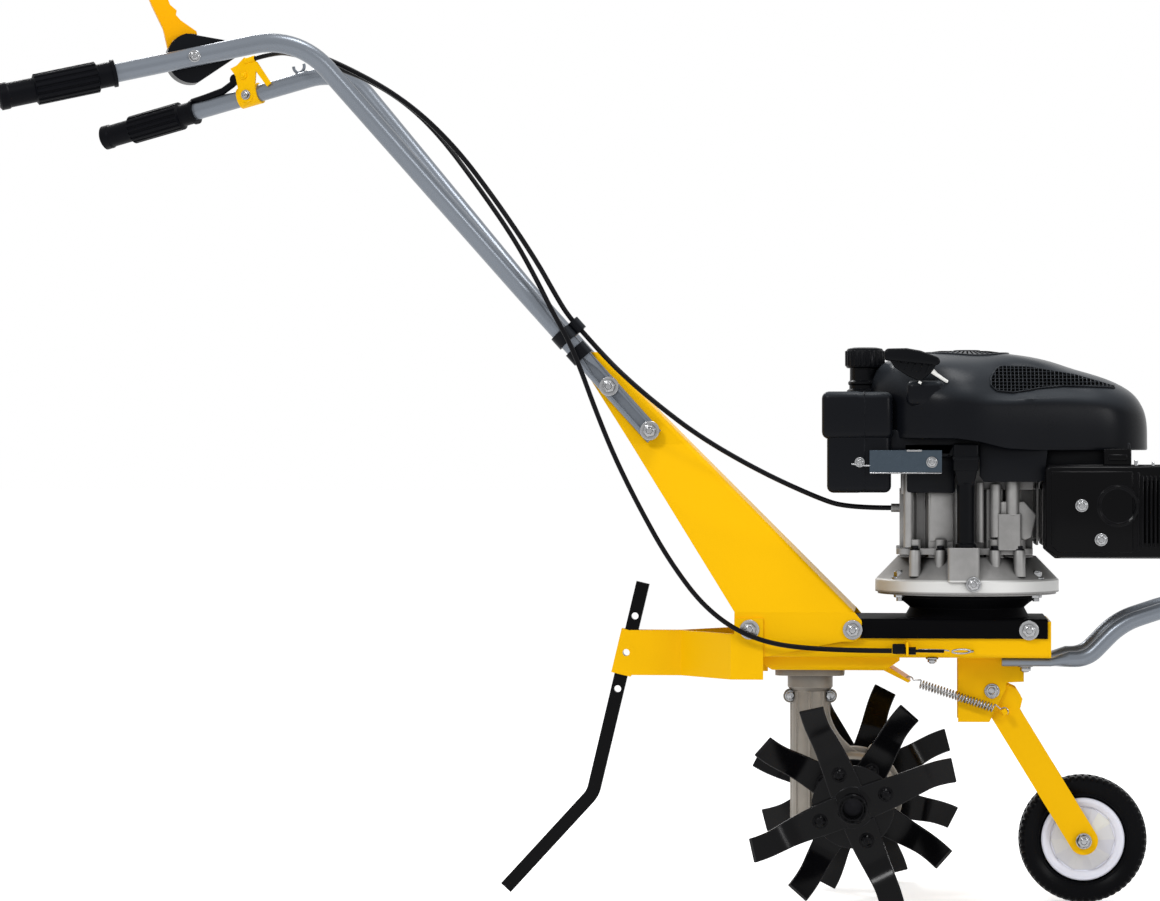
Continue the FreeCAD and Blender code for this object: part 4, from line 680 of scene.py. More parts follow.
def make_disc():
    """Wheel disc with a smooth ring round a faceted middle."""
    centre = aimed(WHEEL, LEFT)
    half = [(15, 12), (38, 10.5), (39.5, 13.4), (44, 15.4), (47.6, 15.6), (49, 14)]
    rim = Piece("wheel_disc", "white_plastic", ["wheel_hub"], "front_wheel")
    rim.turned([(radius, -across) for radius, across in half] + half[::-1], centre, 96)
    rim.done(20)
    cover = Piece("wheel_hub_cover", "white_plastic", body="front_wheel")
    cone = ((38.6, 10.2), (37.6, 11.6), (16.5, 19.6), (16.5, 21))
    boss = ((5, 12), (16, 12), (16, 21), (14.6, 22.6), (5, 22.6))
    for side in SIDES:
        levels = [(radius, side * height) for radius, height in cone]
        cover.add(taper(sizes().hub_facets, levels), matrix=centre)
        cover.turned([(radius, side * height) for radius, height in boss], centre)
    cover.done(4.5, "disc_plastic")


def make_wheel_nuts():
    """Nut of the wheel's axle on each side of the arm."""
    nuts = Piece("wheel_nuts", "zinc_steel", body="wheel_arm")
    for side in SIDES:
        nuts.bolt(outward(side, WHEEL.x, 36.2, WHEEL.z), 7.4, 9.4, 4.2)
    nuts.done()


# ---- blower housing

ENGINE_X = 134.0
HOUSING_FOOT = 538.0
# height above the foot, rear, front, half width behind, half width in front, reach of the nose
HOUSING_LEVELS = ((0, 12, 348, 124, 74, 36), (39, 10, 346, 124, 74, 36), (61, 10, 336, 121, 72, 34),
                  (75, 11, 320, 113, 66, 32), (89, 16, 293, 102, 60, 30), (102, 26, 252, 86, 52, 26),
                  (111, 60, 210, 58, 40, 20), (117.6, 98, 160, 26, 20, 8))
HOUSING_HEIGHTS = [*range(4, 101, 4), 102.5, 105, 107, 109, 111, 112.5, 114, 115.3, 116.4, 117.2, 117.6]
# height above the foot and inset of the rings that fold the skin's lower edge in
FOLD = ((9, 4.5), (0.6, 3.4), (0, 2.6), (0.4, 0.6), (2, 0))
FOLD_TOP = 22
PLAN_SMOOTHINGS = 4
LEDGE_TOP = ((150, 604), (187, 603), (219, 608.6), (246, 612.6), (294, 609.9), (319, 599), (336, 580))
LEDGE_FOOT = ((150, 594), (206, 597), (260, 596), (287, 592), (340, 576))
# where the ledge starts and how far it takes: along X at its rear and its front, and upwards to the crown
LEDGE_REAR, LEDGE_FRONT, LEDGE_CROWN = (138, 55), (262, 66), (632, 20)
FOOT_LINE = ((118, 552), (147, 548), (179, 540), (219, 538))
INTAKE_REAR, INTAKE_LENGTH = 160, 146
LONG_BARS, LONG_BAR_STEP = range(609, 634, 4), 2.5
INTAKE_LOW = ((160, 613), (166, 607), (187, 605), (219, 610.5), (246, 613), (270, 612.5), (306, 611))
INTAKE_HIGH = ((160, 622), (165, 632), (172, 636.5), (206, 635.5), (260, 626), (306, 612.5))


def housing_level(height):
    """The plan's sizes at a height above the foot, on smooth lines through the levels."""
    table = HOUSING_LEVELS
    index = max(i for i in range(len(table) - 1) if table[i][0] <= height or i == 0)
    lower, upper = table[index], table[index + 1]
    before, after = table[max(index - 1, 0)], table[min(index + 2, len(table) - 1)]
    span = upper[0] - lower[0]
    t = min(1, (height - lower[0]) / span)
    values = []
    for column in range(1, 6):
        start = (upper[column] - before[column]) / (upper[0] - before[0]) * span
        end = (after[column] - lower[column]) / (after[0] - lower[0]) * span
        values.append((2 * t ** 3 - 3 * t ** 2 + 1) * lower[column] + (t ** 3 - 2 * t ** 2 + t) * start
                      + (3 * t ** 2 - 2 * t ** 3) * upper[column] + (t ** 3 - t ** 2) * end)
    return values


def housing_plan(height):
    """The housing's outline from above at a height: round behind, bowed in front, smoothed."""
    rear, front, half, tip, nose = housing_level(height)
    bow = (tip * tip + nose * nose) / (2 * nose)
    swing = math.degrees(math.asin(min(1, tip / bow)))
    plan = arc((rear + half, 0), half, 90, 270, 44)
    plan += straight((rear + half, -half), (front - nose, -tip), 18)
    plan += arc((front - bow, 0), bow, -swing, swing, 26)
    plan += straight((front - nose, tip), (rear + half, half), 18)
    for _ in range(PLAN_SMOOTHINGS):
        plan = [tuple((b + (a + c) / 2) / 2 for a, b, c in zip(before, here, after))
                for before, here, after in zip(plan[-1:] + plan, plan, plan[1:] + plan[:1])]
    return plan, (rear + front) / 2


def housing_ring(height, inset=0, at_foot=False):
    """One level of the blower housing as a ring of points, pulled in above its ledge."""
    plan, middle = housing_plan(height)
    ring = []
    for x, y in plan:
        z = HOUSING_FOOT + height
        if at_foot:
            z = max(z, between(FOOT_LINE, x) + height * 0.25)
        low, high = between(LEDGE_FOOT, x), between(LEDGE_TOP, x)
        pull = sizes().ledge_depth / MM * over((low, high - low), z) * over(LEDGE_REAR, x)
        pull *= (1 - over(LEDGE_CROWN, z)) * (1 - over(LEDGE_FRONT, x))
        scale = 1 - (pull + inset) / max(math.hypot(x - middle, y), 20)
        ring.append((middle + (x - middle) * scale, y * scale, z))
    return ring


def on_side(skin, x, z, lift, side):
    """The place on the housing's side at x and z, lifted off it."""
    place, normal, _, _ = skin.ray_cast(Vector((x, side * 300, z)), Vector((0, -side, 0)))
    return place + normal * (lift if normal.y * side > 0 else -lift)


def on_top(skin, along, across, lift):
    """The place on the housing's top beside the engine's axis, lifted off it."""
    place, _, _, _ = skin.ray_cast(Vector((ENGINE_X + along, across, 900)), Vector(DOWN))
    return place + Vector((0, 0, lift))


def on_intake(skin, u, v, lift, side):
    """The place on the side intake that is a share u along it and a share v up it."""
    x = INTAKE_REAR + INTAKE_LENGTH * u
    low, high = between(INTAKE_LOW, x), between(INTAKE_HIGH, x)
    return on_side(skin, x, low + (high - low) * v, lift, side)


def make_blower_housing():
    """Moulded dome over the flywheel with a waist, the starter's guide and the air intakes."""
    rings = [housing_ring(height, inset, True) for height, inset in FOLD]
    rings += [housing_ring(height, 0, height < FOLD_TOP) for height in HOUSING_HEIGHTS]
    shell = solid(rings)
    skin = BVHTree.FromBMesh(shell)
    piece = Piece("blower_cover", "black_plastic", ["blower_housing"])
    piece.add(shell)
    piece.block((62, -112.5, 590), (107, -78, 619.5), 8, 4)
    for radius in (15, 49):
        ring = [on_top(skin, a, b, 0.2) for a, b in polygon(48, radius)]
        piece.bar(ring + ring[:2], 1.5, 8)
    piece.done(36)
    make_intakes(skin)


def make_intakes(skin):
    """Sheets of painted shade behind the air intakes' bars in both sides, sunk lines of painted shade in the top,
    and the bars.
    """
    shadow = Piece("intake_painted_shade", "black_plastic")
    bars = Piece("intake_grille", "black_plastic")
    uprights = int(INTAKE_LENGTH / (sizes().grille_pitch / MM))
    for side in SIDES:
        # Painted shade: a near-black sheet on the skin where the intake's opening would lie in shade.
        shadow.add(sheet_over(60, 8, lambda u, v: on_intake(skin, u, v, 0.7, side), 0.9))
        for index in range(1, uprights):
            bars.bar([on_intake(skin, index / uprights, v / 5, 1.5, side) for v in range(6)], 0.7, 6)
        for height in LONG_BARS:
            run = [INTAKE_REAR + LONG_BAR_STEP * step for step in range(59)]
            run = [x for x in run if between(INTAKE_LOW, x) + 0.6 < height < between(INTAKE_HIGH, x) - 0.6]
            if len(run) > 3:
                bars.bar([on_side(skin, x, height, 1.4, side) for x in run], 0.6, 6)
        edge = [on_intake(skin, step / 40, 0, 0.9, side) for step in range(41)]
        edge += [on_intake(skin, 1 - step / 40, 1, 0.9, side) for step in range(41)]
        bars.bar(edge + [edge[0]], 1.1, 8)
    # Painted shade: near-black lines sunk into the top.
    for a, b in polygon(40, 1):
        shadow.bar([on_top(skin, a * reach, b * reach, -0.7) for reach in (20, 27, 34, 40, 45)], 1.3, 8)
    shadow.done(finish="intake_shadow")
    bars.done(40)


def make_starter_grip():
    """Starter grip on its guide, with the rope's end running into the housing."""
    grip = Piece("starter_grip", "black_plastic", ["recoil_handle"])
    grip.plate([(36.2, 643), (35.3, 652), (38.6, 656.6), (62, 657), (78, 654.2), (99.7, 646), (101.6, 640),
                (97, 636.6)], -123, -101, 3, 3)
    grip.plate([(41, 645), (98, 641), (92.3, 630), (80.5, 619.6), (76, 618.4), (63, 624.7), (48, 634.5)],
               -118.5, -106, 2.6, 3)
    for row in range(5):
        grip.bar([(52 + 8 * row, -118.6, 633 - 1.6 * row), (56 + 8 * row, -118.8, 640 - 0.8 * row)], 0.9, 6)
    grip.done(36, "grip_plastic")
    rope = Piece("starter_rope_end", "black_plastic")
    rope.bar([(88.5, -113, 634), (91.7, -114, 630.5), (97, -115, 626), (103, -114, 622), (109.3, -110, 618)],
             2.1, 10, [2.8, 3.2, 2.2, 1.9, 1.9])
    rope.bar([(76, -116, 618), (79, -116, 616)], 1.6, 8)
    rope.done(finish="starter_rope")


# ---- tank

def make_fuel_tank():
    """Blow-moulded tank in two halves, stepped in under its shoulder."""
    tank = Piece("tank_shell", "black_plastic", ["fuel_tank"])
    tank.block((-37, -105, 551), (13, 105, 607), 8.5, 4)
    tank.block((-31, -100.5, 488), (13, 100.5, 560), 7.5, 4)
    for side in SIDES:
        tank.block((-30, side * 60, 551.3), (46, side * 104.8, 606.4), 8.5, 4)
        tank.block((-25, side * 55, 488.3), (44, side * 100.3, 560), 7.5, 4)
    tank.block((12.4, -105.4, 551.6), (13.4, 105.4, 607.3), 0.3, 1)
    tank.block((12.4, -100.9, 488.4), (13.4, 100.9, 553), 0.3, 1)
    tank.done(40)


def make_tank_cap():
    """Ribbed cap on the tank's neck."""
    cap = Piece("tank_cap", "black_plastic", ["fuel_cap"])
    foot = Matrix.Translation((13, -26, 606))
    cap.turned([(0, 0), (21.5, 0), (21.5, 3), (18.6, 5), (18.6, 9), (20, 10.5), (20, 13), (18, 15), (18, 30),
                (0, 30)], foot, 48)
    cap.turned([(0, 29.5), (21, 29.5), (22.6, 31), (22.8, 34), (22.8, 49), (20.5, 52.6), (14, 54), (0, 54)],
               foot, 60)
    for turn in range(0, 360, 15):
        cap.block((22, -1.5, 32), (23.7, 1.5, 50), 0.7, 2, foot @ spun(turn))
    cap.done(34, "grip_plastic")


def make_tank_screws():
    """Screw that holds the tank on each side."""
    screws = Piece("tank_screws", "zinc_steel")
    for side in SIDES:
        screws.bolt(outward(side, 7.5, 100.4, 524), 4.4, 6, 3.2)
    screws.done()


# ---- engine

SUMP_BOLTS = [(ENGINE_X + along, side * 80) for along in (-62, -32, 31, 60) for side in SIDES]


def make_dipstick():
    """Filler tube with a square neck and the dipstick's handle."""
    stick = Piece("dipstick", "black_plastic", ["oil_filler"])
    foot = Matrix.Translation((131, -98, 0))
    stick.turned([(0, 424), (12.4, 424), (12.4, 428), (10.4, 429.5), (10.4, 499), (0, 499)], foot, 32)
    neck = ((13.433, 497), (14.988, 503), (17.816, 512), (18.948, 514.5))
    stick.add(taper(4, neck, 45, squash=0.92), 1.6, 2, foot)
    stick.block((-14.8, -13.4, 513.5), (14.8, 13.4, 546), 2.6, 3, foot)
    stick.block((-15.6, -14, 527), (15.6, 14, 531), 1, 2, foot)
    stick.done(34, "grip_plastic")


def make_baffle():
    """Black shields between the blower housing and the castings."""
    baffle = Piece("blower_baffle", "black_plastic")
    baffle.block((20, -92, 531), (226, 92, 562), 3)
    baffle.block((62, -84, 488), (119, -60, 540), 3)
    baffle.block((222, -66, 500), (324, 66, 548), 4, 3)
    baffle.plate([(147, 508), (152, 501), (222, 501), (226, 540), (147, 549)], -96, -93.4, 0.8)
    baffle.plate([(60, 545), (60, 538), (110, 530), (118, 545)], -92, -89, 0.8)
    baffle.done()


def make_engine_bolts():
    """Bolts of the engine's flange with their nuts below the deck, and of the linkage plate."""
    bolts = Piece("engine_bolts", "zinc_steel")
    for along in (-80, 80):
        for y in (-57, 57):
            x = ENGINE_X + along
            bolts.bolt(aimed((x, y, 386.5), UP), 7.2, 9.5, 6.5)
            bolts.bar([(x, y, 360), (x, y, 369)], 4, 12)
            bolts.bolt(aimed((x, y, 372), DOWN), 7.2, 9.5, 6, False)
    for side, face in ((-1, 112.2), (1, 109.2)):
        bolts.bolt(outward(side, 139.8, face, 381.7), 7, 8.6, 3.8)
    bolts.bolt(outward(-1, 91.5, 107.6, 524.2), 5.6, 6.6, 3.6)
    bolts.done()


def make_case_castings():
    """Bosses, ducts, ribs and covers cast round the crankcase."""
    cast = Piece("case_bosses", "cast_alloy")
    for place in SUMP_BOLTS:
        cast.turned([(0, 390), (7.2, 390), (6.6, 404), (6.6, 419), (5.6, 421), (0, 421)],
                    Matrix.Translation((*place, 0)), 28)
    for side in SIDES:
        for x, low, high, size in ((64, 424, 519, 5.5), (148, 430, 500, 4.5), (166, 436, 498, 6.5),
                                   (186, 462, 512, 8)):
            cast.bar([(x, side * 77, low), (x, side * 77, high)], size, 16)
        cast.plate(((172, 430), (172, 478), (200, 478), (214, 462), (208, 436), (190, 428)),
                   side * 70, side * 79, 2.2)
        cast.block((55.5, side * 58, 486), (68.5, side * 77.5, 516), 2)
        cast.plate(((88, 430), (90, 508), (116, 508), (118, 430)), side * 70, side * 76.5, 3)
    for turn in range(15, 360, 30):
        cast.plate([(76, 387), (76, 404), (96, 389.5), (98, 387)], -1.8, 1.8, 0.8, 1,
                   Matrix.Translation((ENGINE_X, 0, 0)) @ spun(turn))
    cast.done(34)


def make_filter_trim():
    """Seam, lid, knob and louvres of the air filter."""
    trim = Piece("air_filter_trim", "black_plastic")
    trim.block((212.6, 112, 426.6), (301.4, 115, 521.4), 1.2)
    trim.block((226, 140, 440), (288, 145.2, 508), 2.4, 3)
    knob = outward(1, 257, 144.5, 474)
    trim.turned([(0, 0), (13, 0), (13, 2.5), (11, 4), (11, 9), (9.6, 10.6), (0, 10.6)], knob)
    for turn in range(0, 360, 30):
        trim.block((10.4, -1.6, 3), (12.4, 1.6, 9.4), 0.6, 1, knob @ spun(turn))
    for z in (452, 463, 485, 496):
        trim.block((232, 144.4, z), (282, 146.2, z + 3), 0.8, 1)
    trim.done(34)


def make_sump_screws():
    """Screws in the bosses of the sump."""
    screws = Piece("sump_screws", "dark_steel")
    for place in SUMP_BOLTS:
        screws.bolt(aimed((*place, 420.6), UP), 4.8, 5.8, 3.6, False)
    screws.done()


def make_linkage_trim():
    """Folded edge and tab of the linkage plate, and the rod from it to the tank's screw."""
    trim = Piece("linkage_trim", "zinc_steel")
    trim.block((19, -109, 510.6), (103, -105.4, 512.2), 0.5, 1)
    trim.bar([(30, -106.4, 520), (14, -102, 520), (-2, -101.4, 522)], 1.2, 8)
    trim.block((62, -108.9, 536.4), (80, -107.4, 538.6), 0.4, 1)
    trim.done()


SILENCER_MOUTH = Matrix.Translation((306.6, -113.6, 473.5)) @ spun(90, "X")
LOUVRE_PITCH = 4.9


def make_silencer():
    """Pressed box with a seam round it, an outlet, a louvred guard and its straps, with painted shade inside the
    outlet and between the louvres.
    """
    box = Piece("silencer_box", "black_paint", ["muffler"])
    box.plate([(222.5, 424), (235.5, 413), (368, 413), (368, 520), (222.5, 520)], -112.4, -62, 5, 3)
    box.plate([(220.8, 423.4), (234.8, 411.6), (369.4, 411.6), (369.4, 521.4), (220.8, 521.4)],
              -90.5, -86.5, 1.2)
    box.plate([(229, 427), (238.5, 419), (324, 419), (324, 513.5), (229, 513.5)], -114.6, -111, 2.2, 3)
    box.turned([(0, -2), (24.5, -2), (24.2, 1), (22.2, 2.6), (20.2, 1.6), (19.4, -0.6), (17.4, -1.2),
                (0, -1.2)], SILENCER_MOUTH, 56)
    for index in range(7):
        x = 334 + LOUVRE_PITCH * index
        box.block((x, -115.2, 425), (x + 2.4, -111.5, 508), 1)
    box.block((329, -114.2, 421), (331.5, -111, 512), 0.9)
    box.block((291, -100, 515), (323, -82, 540), 2)
    box.block((296, -102, 526), (318, -82, 533), 1.2)
    box.bar([(306, -62.5, 463), (306, -54.2, 463)], 14, 28)
    box.done(34)
    # Painted shade: a near-black disc inside the outlet and near-black strips behind the gaps of the louvres.
    dark = Piece("silencer_mouth", "black_paint")
    dark.turned([(0, -1.1), (17.6, -1.1), (17.6, -0.6), (0, -0.6)], SILENCER_MOUTH)
    for index in range(6):
        x = 336.8 + LOUVRE_PITCH * index
        dark.block((x, -112.9, 430), (x + 1.6, -112.2, 503), 0.2, 1)
    dark.done(finish="intake_shadow")
    trim = Piece("silencer_trim", "zinc_steel")
    for x, z in ((264.7, 473.8), (287, 434.2)):
        trim.bolt(outward(-1, x, 114.4, z), 6.2, 7.4, 3.4)
    trim.plate([(326, 515), (326, 527), (330, 527), (330, 519.5), (346, 519.5), (346, 525), (349, 525),
                (349, 517), (364, 517), (364, 514)], -106, -99, 0.8, 1)
    trim.done()


# ---- arm spring

def make_arm_spring():
    """Close-wound spring between the belt cover's tongue and the arm's tab."""
    start, end = Vector((65.5, -44, 265.5)), Vector((177.2, -44, 229.2))
    radius, hook, lead, steps_a_turn = 4.8, 4.6, 13, 14
    along = (end - start).normalized()
    out = Vector(LEFT)
    up = along.cross(out)
    coil = (end - start).length - 2 * lead
    hook_turns = [math.radians(20 + 20 * step) for step in range(10)]
    path = [start + (along * math.cos(t) + up * math.sin(t)) * hook for t in hook_turns[::-1]]
    steps = sizes().spring_turns * steps_a_turn
    for step in range(steps + 1):
        turn = 2 * math.pi * step / steps_a_turn
        path.append(start + along * (lead + coil * step / steps)
                    + (out * math.sin(turn) + up * math.cos(turn)) * radius)
    path += [end + (up * math.sin(t) - along * math.cos(t)) * hook for t in hook_turns]
    piece = Piece("arm_spring", "zinc_steel", ["wheel_spring"], None)
    piece.bar(path, sizes().spring_wire / MM / 2, 7)
    spring = piece.done(50)
    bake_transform(spring)


# ---- tines

# name, side, distance of the flange from the middle, turn of the blades in degrees
TINE_SETS = (("right_inner", -1, 75, 32), ("right_outer", -1, 165, 68),
             ("left_inner", 1, 75, 17.5), ("left_outer", 1, 165, 66))
BLADE_WALL, BLADE_EDGE = 5, 1.1
BLADE_ROOT, BLADE_TIP = 19.5, 14.2
BLADE_START, BLADE_REACH, BLADE_STEP = 12.8, 123.6, 2.38
BLADE_LENGTH, BLADE_TWIST = 140, math.radians(40)
TWIST_START, TWIST_LENGTH = 58, 42
# where a blade starts to bend, where it bends back, and the degrees it turns for each millimetre
BEND, BEND_BACK, BEND_RATE, BACK_RATE = 40, 90, 0.1, -0.32
LIFT = 1.6  # how far a set's outer pair of blades lies outside the inner pair
BOLT_CIRCLE = 41


def blade_path(turn):
    """The middle line of one sickle blade: (along, across, out, heading, tilt) every few millimetres."""
    heading, tilt = math.radians(turn), 0.0
    along, across, out = 0, 0, 0.0
    path = []
    for number in range(round(BLADE_LENGTH / BLADE_STEP)):
        distance = number * BLADE_STEP
        if distance > BEND:
            heading += math.radians(BEND_RATE if distance < BEND_BACK else BACK_RATE) * BLADE_STEP
        tilt = BLADE_TWIST * over((TWIST_START, TWIST_LENGTH), distance)
        if distance >= BLADE_START:
            path.append((along, across, out, heading, tilt))
        along += math.cos(heading) * math.cos(tilt) * BLADE_STEP
        across += math.sin(heading) * math.cos(tilt) * BLADE_STEP
        out += math.sin(tilt) * BLADE_STEP
    return path


def blade(side, face, turn):
    """One blade of flat bar, bent outwards, with softened edges and a square end."""
    rings = []
    path = blade_path(turn)
    wall, soft = BLADE_WALL, BLADE_EDGE
    for number, (along, across, out, heading, tilt) in enumerate(path):
        if math.hypot(along, across) > BLADE_REACH:
            break
        half = BLADE_ROOT + (BLADE_TIP - BLADE_ROOT) * eased(number / len(path) * 1.4)
        wide = Vector((-math.sin(heading), 0, math.cos(heading)))
        thick = Vector((-math.sin(tilt) * math.cos(heading), side * math.cos(tilt),
                        -math.sin(tilt) * math.sin(heading)))
        middle = Vector((along, side * (face + out), across)) + TINE_AXLE
        corners = ((soft - half, 0), (half - soft, 0), (half, -soft), (half, soft - wall),
                   (half - soft, -wall), (soft - half, -wall), (-half, soft - wall), (-half, -soft))
        rings.append([middle + wide * a + thick * b for a, b in corners])
    return solid(rings)


def make_tines():
    """Four sets of four sickle blades, crossed in pairs on a flange."""
    for name, side, face, phase in TINE_SETS:
        piece = Piece("tines_" + name, "black_paint", ["tine_set_" + name], "tine_rotor")
        hub = outward(side, TINE_AXLE.x, face - 9, TINE_AXLE.z)
        piece.turned([(15.1, 0), (47, 0), (48, 0.8), (48, 3.4), (47, 4.2), (15.1, 4.2)], hub, 64)
        for quarter, lift in enumerate((LIFT, 0, LIFT, 0)):
            piece.add(blade(side, face + lift, 90 * quarter - phase + 90))
        piece.turned([(15.1, 8.6), (24, 8.6), (24, 9.4), (22, 10.4), (15.1, 10.4)], hub, 48)
        piece.done(30, "tine_paint")


def make_tine_bolts():
    """Bolt heads on the tine sets, and a collar at each end of the rotor's tube."""
    bolts = Piece("tine_bolts", "black_paint", body="tine_rotor")
    for _, side, face, phase in TINE_SETS:
        ring = arc((TINE_AXLE.x, TINE_AXLE.z), BOLT_CIRCLE, 91 - phase, 361 - phase, 3)
        for (x, z), lift in zip(ring, (1.4, 0, 1.4, 0)):
            matrix = outward(side, x, face + lift, z)
            bolts.turned([(0, -0.5), (8.8, -0.5), (8.8, 0.9), (8, 1.5), (6.6, 1.6), (6.2, 3.4), (4.4, 5.2),
                          (0, 5.8)], matrix, 28)
            bolts.turned([(2.2, 5.4), (2.9, 6), (3.6, 5.4)], matrix, 16)
    for side in SIDES:
        bolts.turned([(15, 0), (17.4, 0.6), (17.4, 6), (16.6, 7), (13.2, 7), (12.4, 6.2), (12.4, 0)],
                     outward(side, TINE_AXLE.x, 183, TINE_AXLE.z), 48)
    bolts.done()


# ---- chassis

def make_deck_bolts():
    """Bolts of the chassis, the handlebars, the bumper and the gearbox, and the arm's pivot washers."""
    head, washer = sizes().bolt_head / MM, sizes().washer / MM
    bolts = Piece("deck_bolts", "zinc_steel")
    for side in SIDES:
        for x, face in ((-122, 88), (-1, 85), (205, 82)):
            bolts.bolt(outward(side, x, face, 327), head, washer, 5.2)
        for x, z in ((-290.4, 614), (-241.9, 561.3)):
            bolts.bolt(outward(side, x, 52, z), head, washer, 5.6)
        bolts.bolt(aimed((201.6, side * 58, 284.5), DOWN), 6.6, 9, 4.6)
        bolts.bolt(aimed((92, side * 72, 294), DOWN), 5.6, 7.4, 3.6)
        for x in (-76, -28.5):
            bolts.bolt(outward(side, x, 8.2, 244.5), 5, 6.6, 3.4, False)
        bolts.turned([(7, 0), (9, 0), (9, 1), (8.4, 1.5), (7, 1.5)],
                     outward(side, PIVOT.x, 36.5, PIVOT.z), 36)
        bolts.turned([(2.6, 0), (3.8, 0.9), (5, 0)], outward(side, PIVOT.x, 41.4, PIVOT.z), 24)
    bolts.done()


# ---- controls

# where the throttle (right) and the clutch bracket (left) sit, and how a bar runs from its end on the left
CONTROL_SPOTS = {-1: (-757.765, -229.854, 991.437), 1: (-769, 233.2, 988.8)}
BAR_RUN = (325.5, -98, 77.5)


def bar_place(side, along, out, up):
    """A place beside a control, in the handlebar's own directions."""
    forwards = Vector((BAR_RUN[0], side * BAR_RUN[1], BAR_RUN[2])).normalized()
    aside = Vector(UP).cross(forwards).normalized()
    turned = Matrix((forwards, aside, forwards.cross(aside))).transposed().to_4x4()
    return Matrix.Translation(CONTROL_SPOTS[side]) @ turned @ Matrix.Translation((along, out, up))


def beside_bar(side, along, out, up):
    """The matrix of a place beside a control, with Z pointing to the machine's right."""
    place = bar_place(side, 0, 0, 0)
    return aimed(place @ Vector((along, out, up)), place.to_3x3() @ Vector(RIGHT))


def make_control_screws():
    """Screws of the throttle housing and the clutch bracket, and the bracket's rivet."""
    screws = Piece("control_screws", "zinc_steel")
    screws.bolt(beside_bar(-1, 0, -11, 0), 5.6, 7, 3.2)
    screws.bolt(beside_bar(1, 0, -13.6, 0), 4.6, 6.2, 3.2)
    screws.done()
    rivet = Piece("bracket_rivet", "yellow_paint")
    rivet.bolt(beside_bar(1, 2, -13.6, 25), 3.2, 5, 1.6, False)
    rivet.done()


def make_cable_hook():
    """Open hook on the left bar."""
    hook = Piece("cable_hook", "grey_paint")
    spot = bar_place(1, 76, 0, 0)
    hook.bar([spot @ Vector((a, 0, b)) for a, b in arc((-2, 18.5), 7.5, 165, 372, 14)], 2)
    hook.done()


def make_clutch_lever():
    """Bent strip of the clutch lever with its pivot's boss."""
    lever = Piece("clutch_hand_lever", "black_rubber", ["clutch_lever"])
    place = bar_place(1, 0, 0, 0)
    run = [(14, -6, 26), (2, -6, 26), (-9, -6, 24.5), (-20, -5, 19.5), (-34, -5, 14.6), (-60, -5, 12.6),
           (-80, -2, 12.6), (-92, 10, 11.5), (-104, 22, 6), (-130, 26, 0), (-160, 26, 0), (-190, 26, 0),
           (-193, 26, 0)]
    lever.bar([place @ Vector(point) for point in run], 4.3, 14, [4.6] * 12 + [2.6])
    lever.turned([(0, -4), (6, -4), (7, -3), (7, 3), (6, 4), (0, 4)],
                 bar_place(1, -13, -6.5, 24) @ spun(90, "X"), 32)
    lever.done(40)


def make_cable_adjuster():
    """Adjuster of the clutch cable on the chassis: its block, rod, eye and tab."""
    adjuster = Piece("adjuster_block", "black_plastic", ["cable_adjuster", "clutch_rod"])
    adjuster.block((45.5, -99, 299.5), (60.6, -84, 311), 1.4)
    adjuster.bar([(60, -92, 303), (73, -92, 303)], 4.6, 12)
    adjuster.bar([(73, -92, 303), (106, -92, 302.6)], 1.9)
    adjuster.done(finish="grip_plastic")
    eye = Piece("cable_eye", "zinc_steel")
    eye.bar([(76, -91, 304.6), (104, -91, 304.4), (112, -91, 303.2)], 0.8, 8)
    eye.bar([(126 + 11 * a, -91 + 4 * a, 302.6 + 2.4 * b) for a, b in arc((0, 0), 1, 180, 540, 18)], 1.1, 8)
    eye.bar([(135, -88, 302.4), (139, -84, 302.4), (139.4, -79.4, 302.4)], 1.6)
    eye.done()
    tab = Piece("adjuster_tab", "yellow_paint")
    tab.block((61.4, -101, 297), (64.4, -79, 313.5), 1)
    tab.done()


# ---- stage

CAMERA = (44.9, -4600.0, 545.4)
CAMERA_SWING = math.radians(4.65)
AIM_HEIGHT = 537.5
LENS = 119.0
# name, place in metres, width and power
LAMPS = (("key", (-1.2, -2.3, 2.4), 0.55, 33.0), ("fill", (2.3, -1.9, 1.2), 0.45, 13.0),
         ("top", (0.6, -0.2, 2.7), 0.7, 24.0), ("back", (-1.1, 1.9, 2.5), 0.7, 24.0))
LAMP_TARGET = Vector((0, 0, 0.45))
FLOOR_GLOW, SKY_GLOW = 0.52, 0.54


def look_at(place, target):
    return (target - place).to_track_quat("-Z", "Y").to_euler()


def make_camera():
    """Long lens to the machine's right, level with the top of the engine."""
    data = bpy.data.cameras.new("camera")
    data.lens = LENS
    data.sensor_width = 36.0
    camera = placed("camera", data)
    camera.location = at(*CAMERA)
    aim = at(CAMERA[0] + CAMERA[1] * math.tan(CAMERA_SWING), 0, AIM_HEIGHT)
    camera.rotation_euler = look_at(camera.location, aim)
    bpy.context.scene.camera = camera


def make_floor():
    """Pale floor that is white where it is seen and still takes the object's shadow."""
    mesh = bpy.data.meshes.new("floor")
    shape = bmesh.new()
    bmesh.ops.create_grid(shape, x_segments=1, y_segments=1, size=40.0)
    shape.to_mesh(mesh)
    shape.free()
    placed("floor", mesh)
    mesh.materials.append(bpy.data.materials.new("floor_white"))
    shader = Shader(mesh.materials[0])
    shader.finish(
        Base_Color=(0.93, 0.93, 0.93), Roughness=0.9, Specular_IOR_Level=0.0, Emission_Strength=FLOOR_GLOW,
        Emission_Color=shader.mix(shader.seen_directly(), (0.0, 0.0, 0.0), (1.0, 1.0, 1.0)))


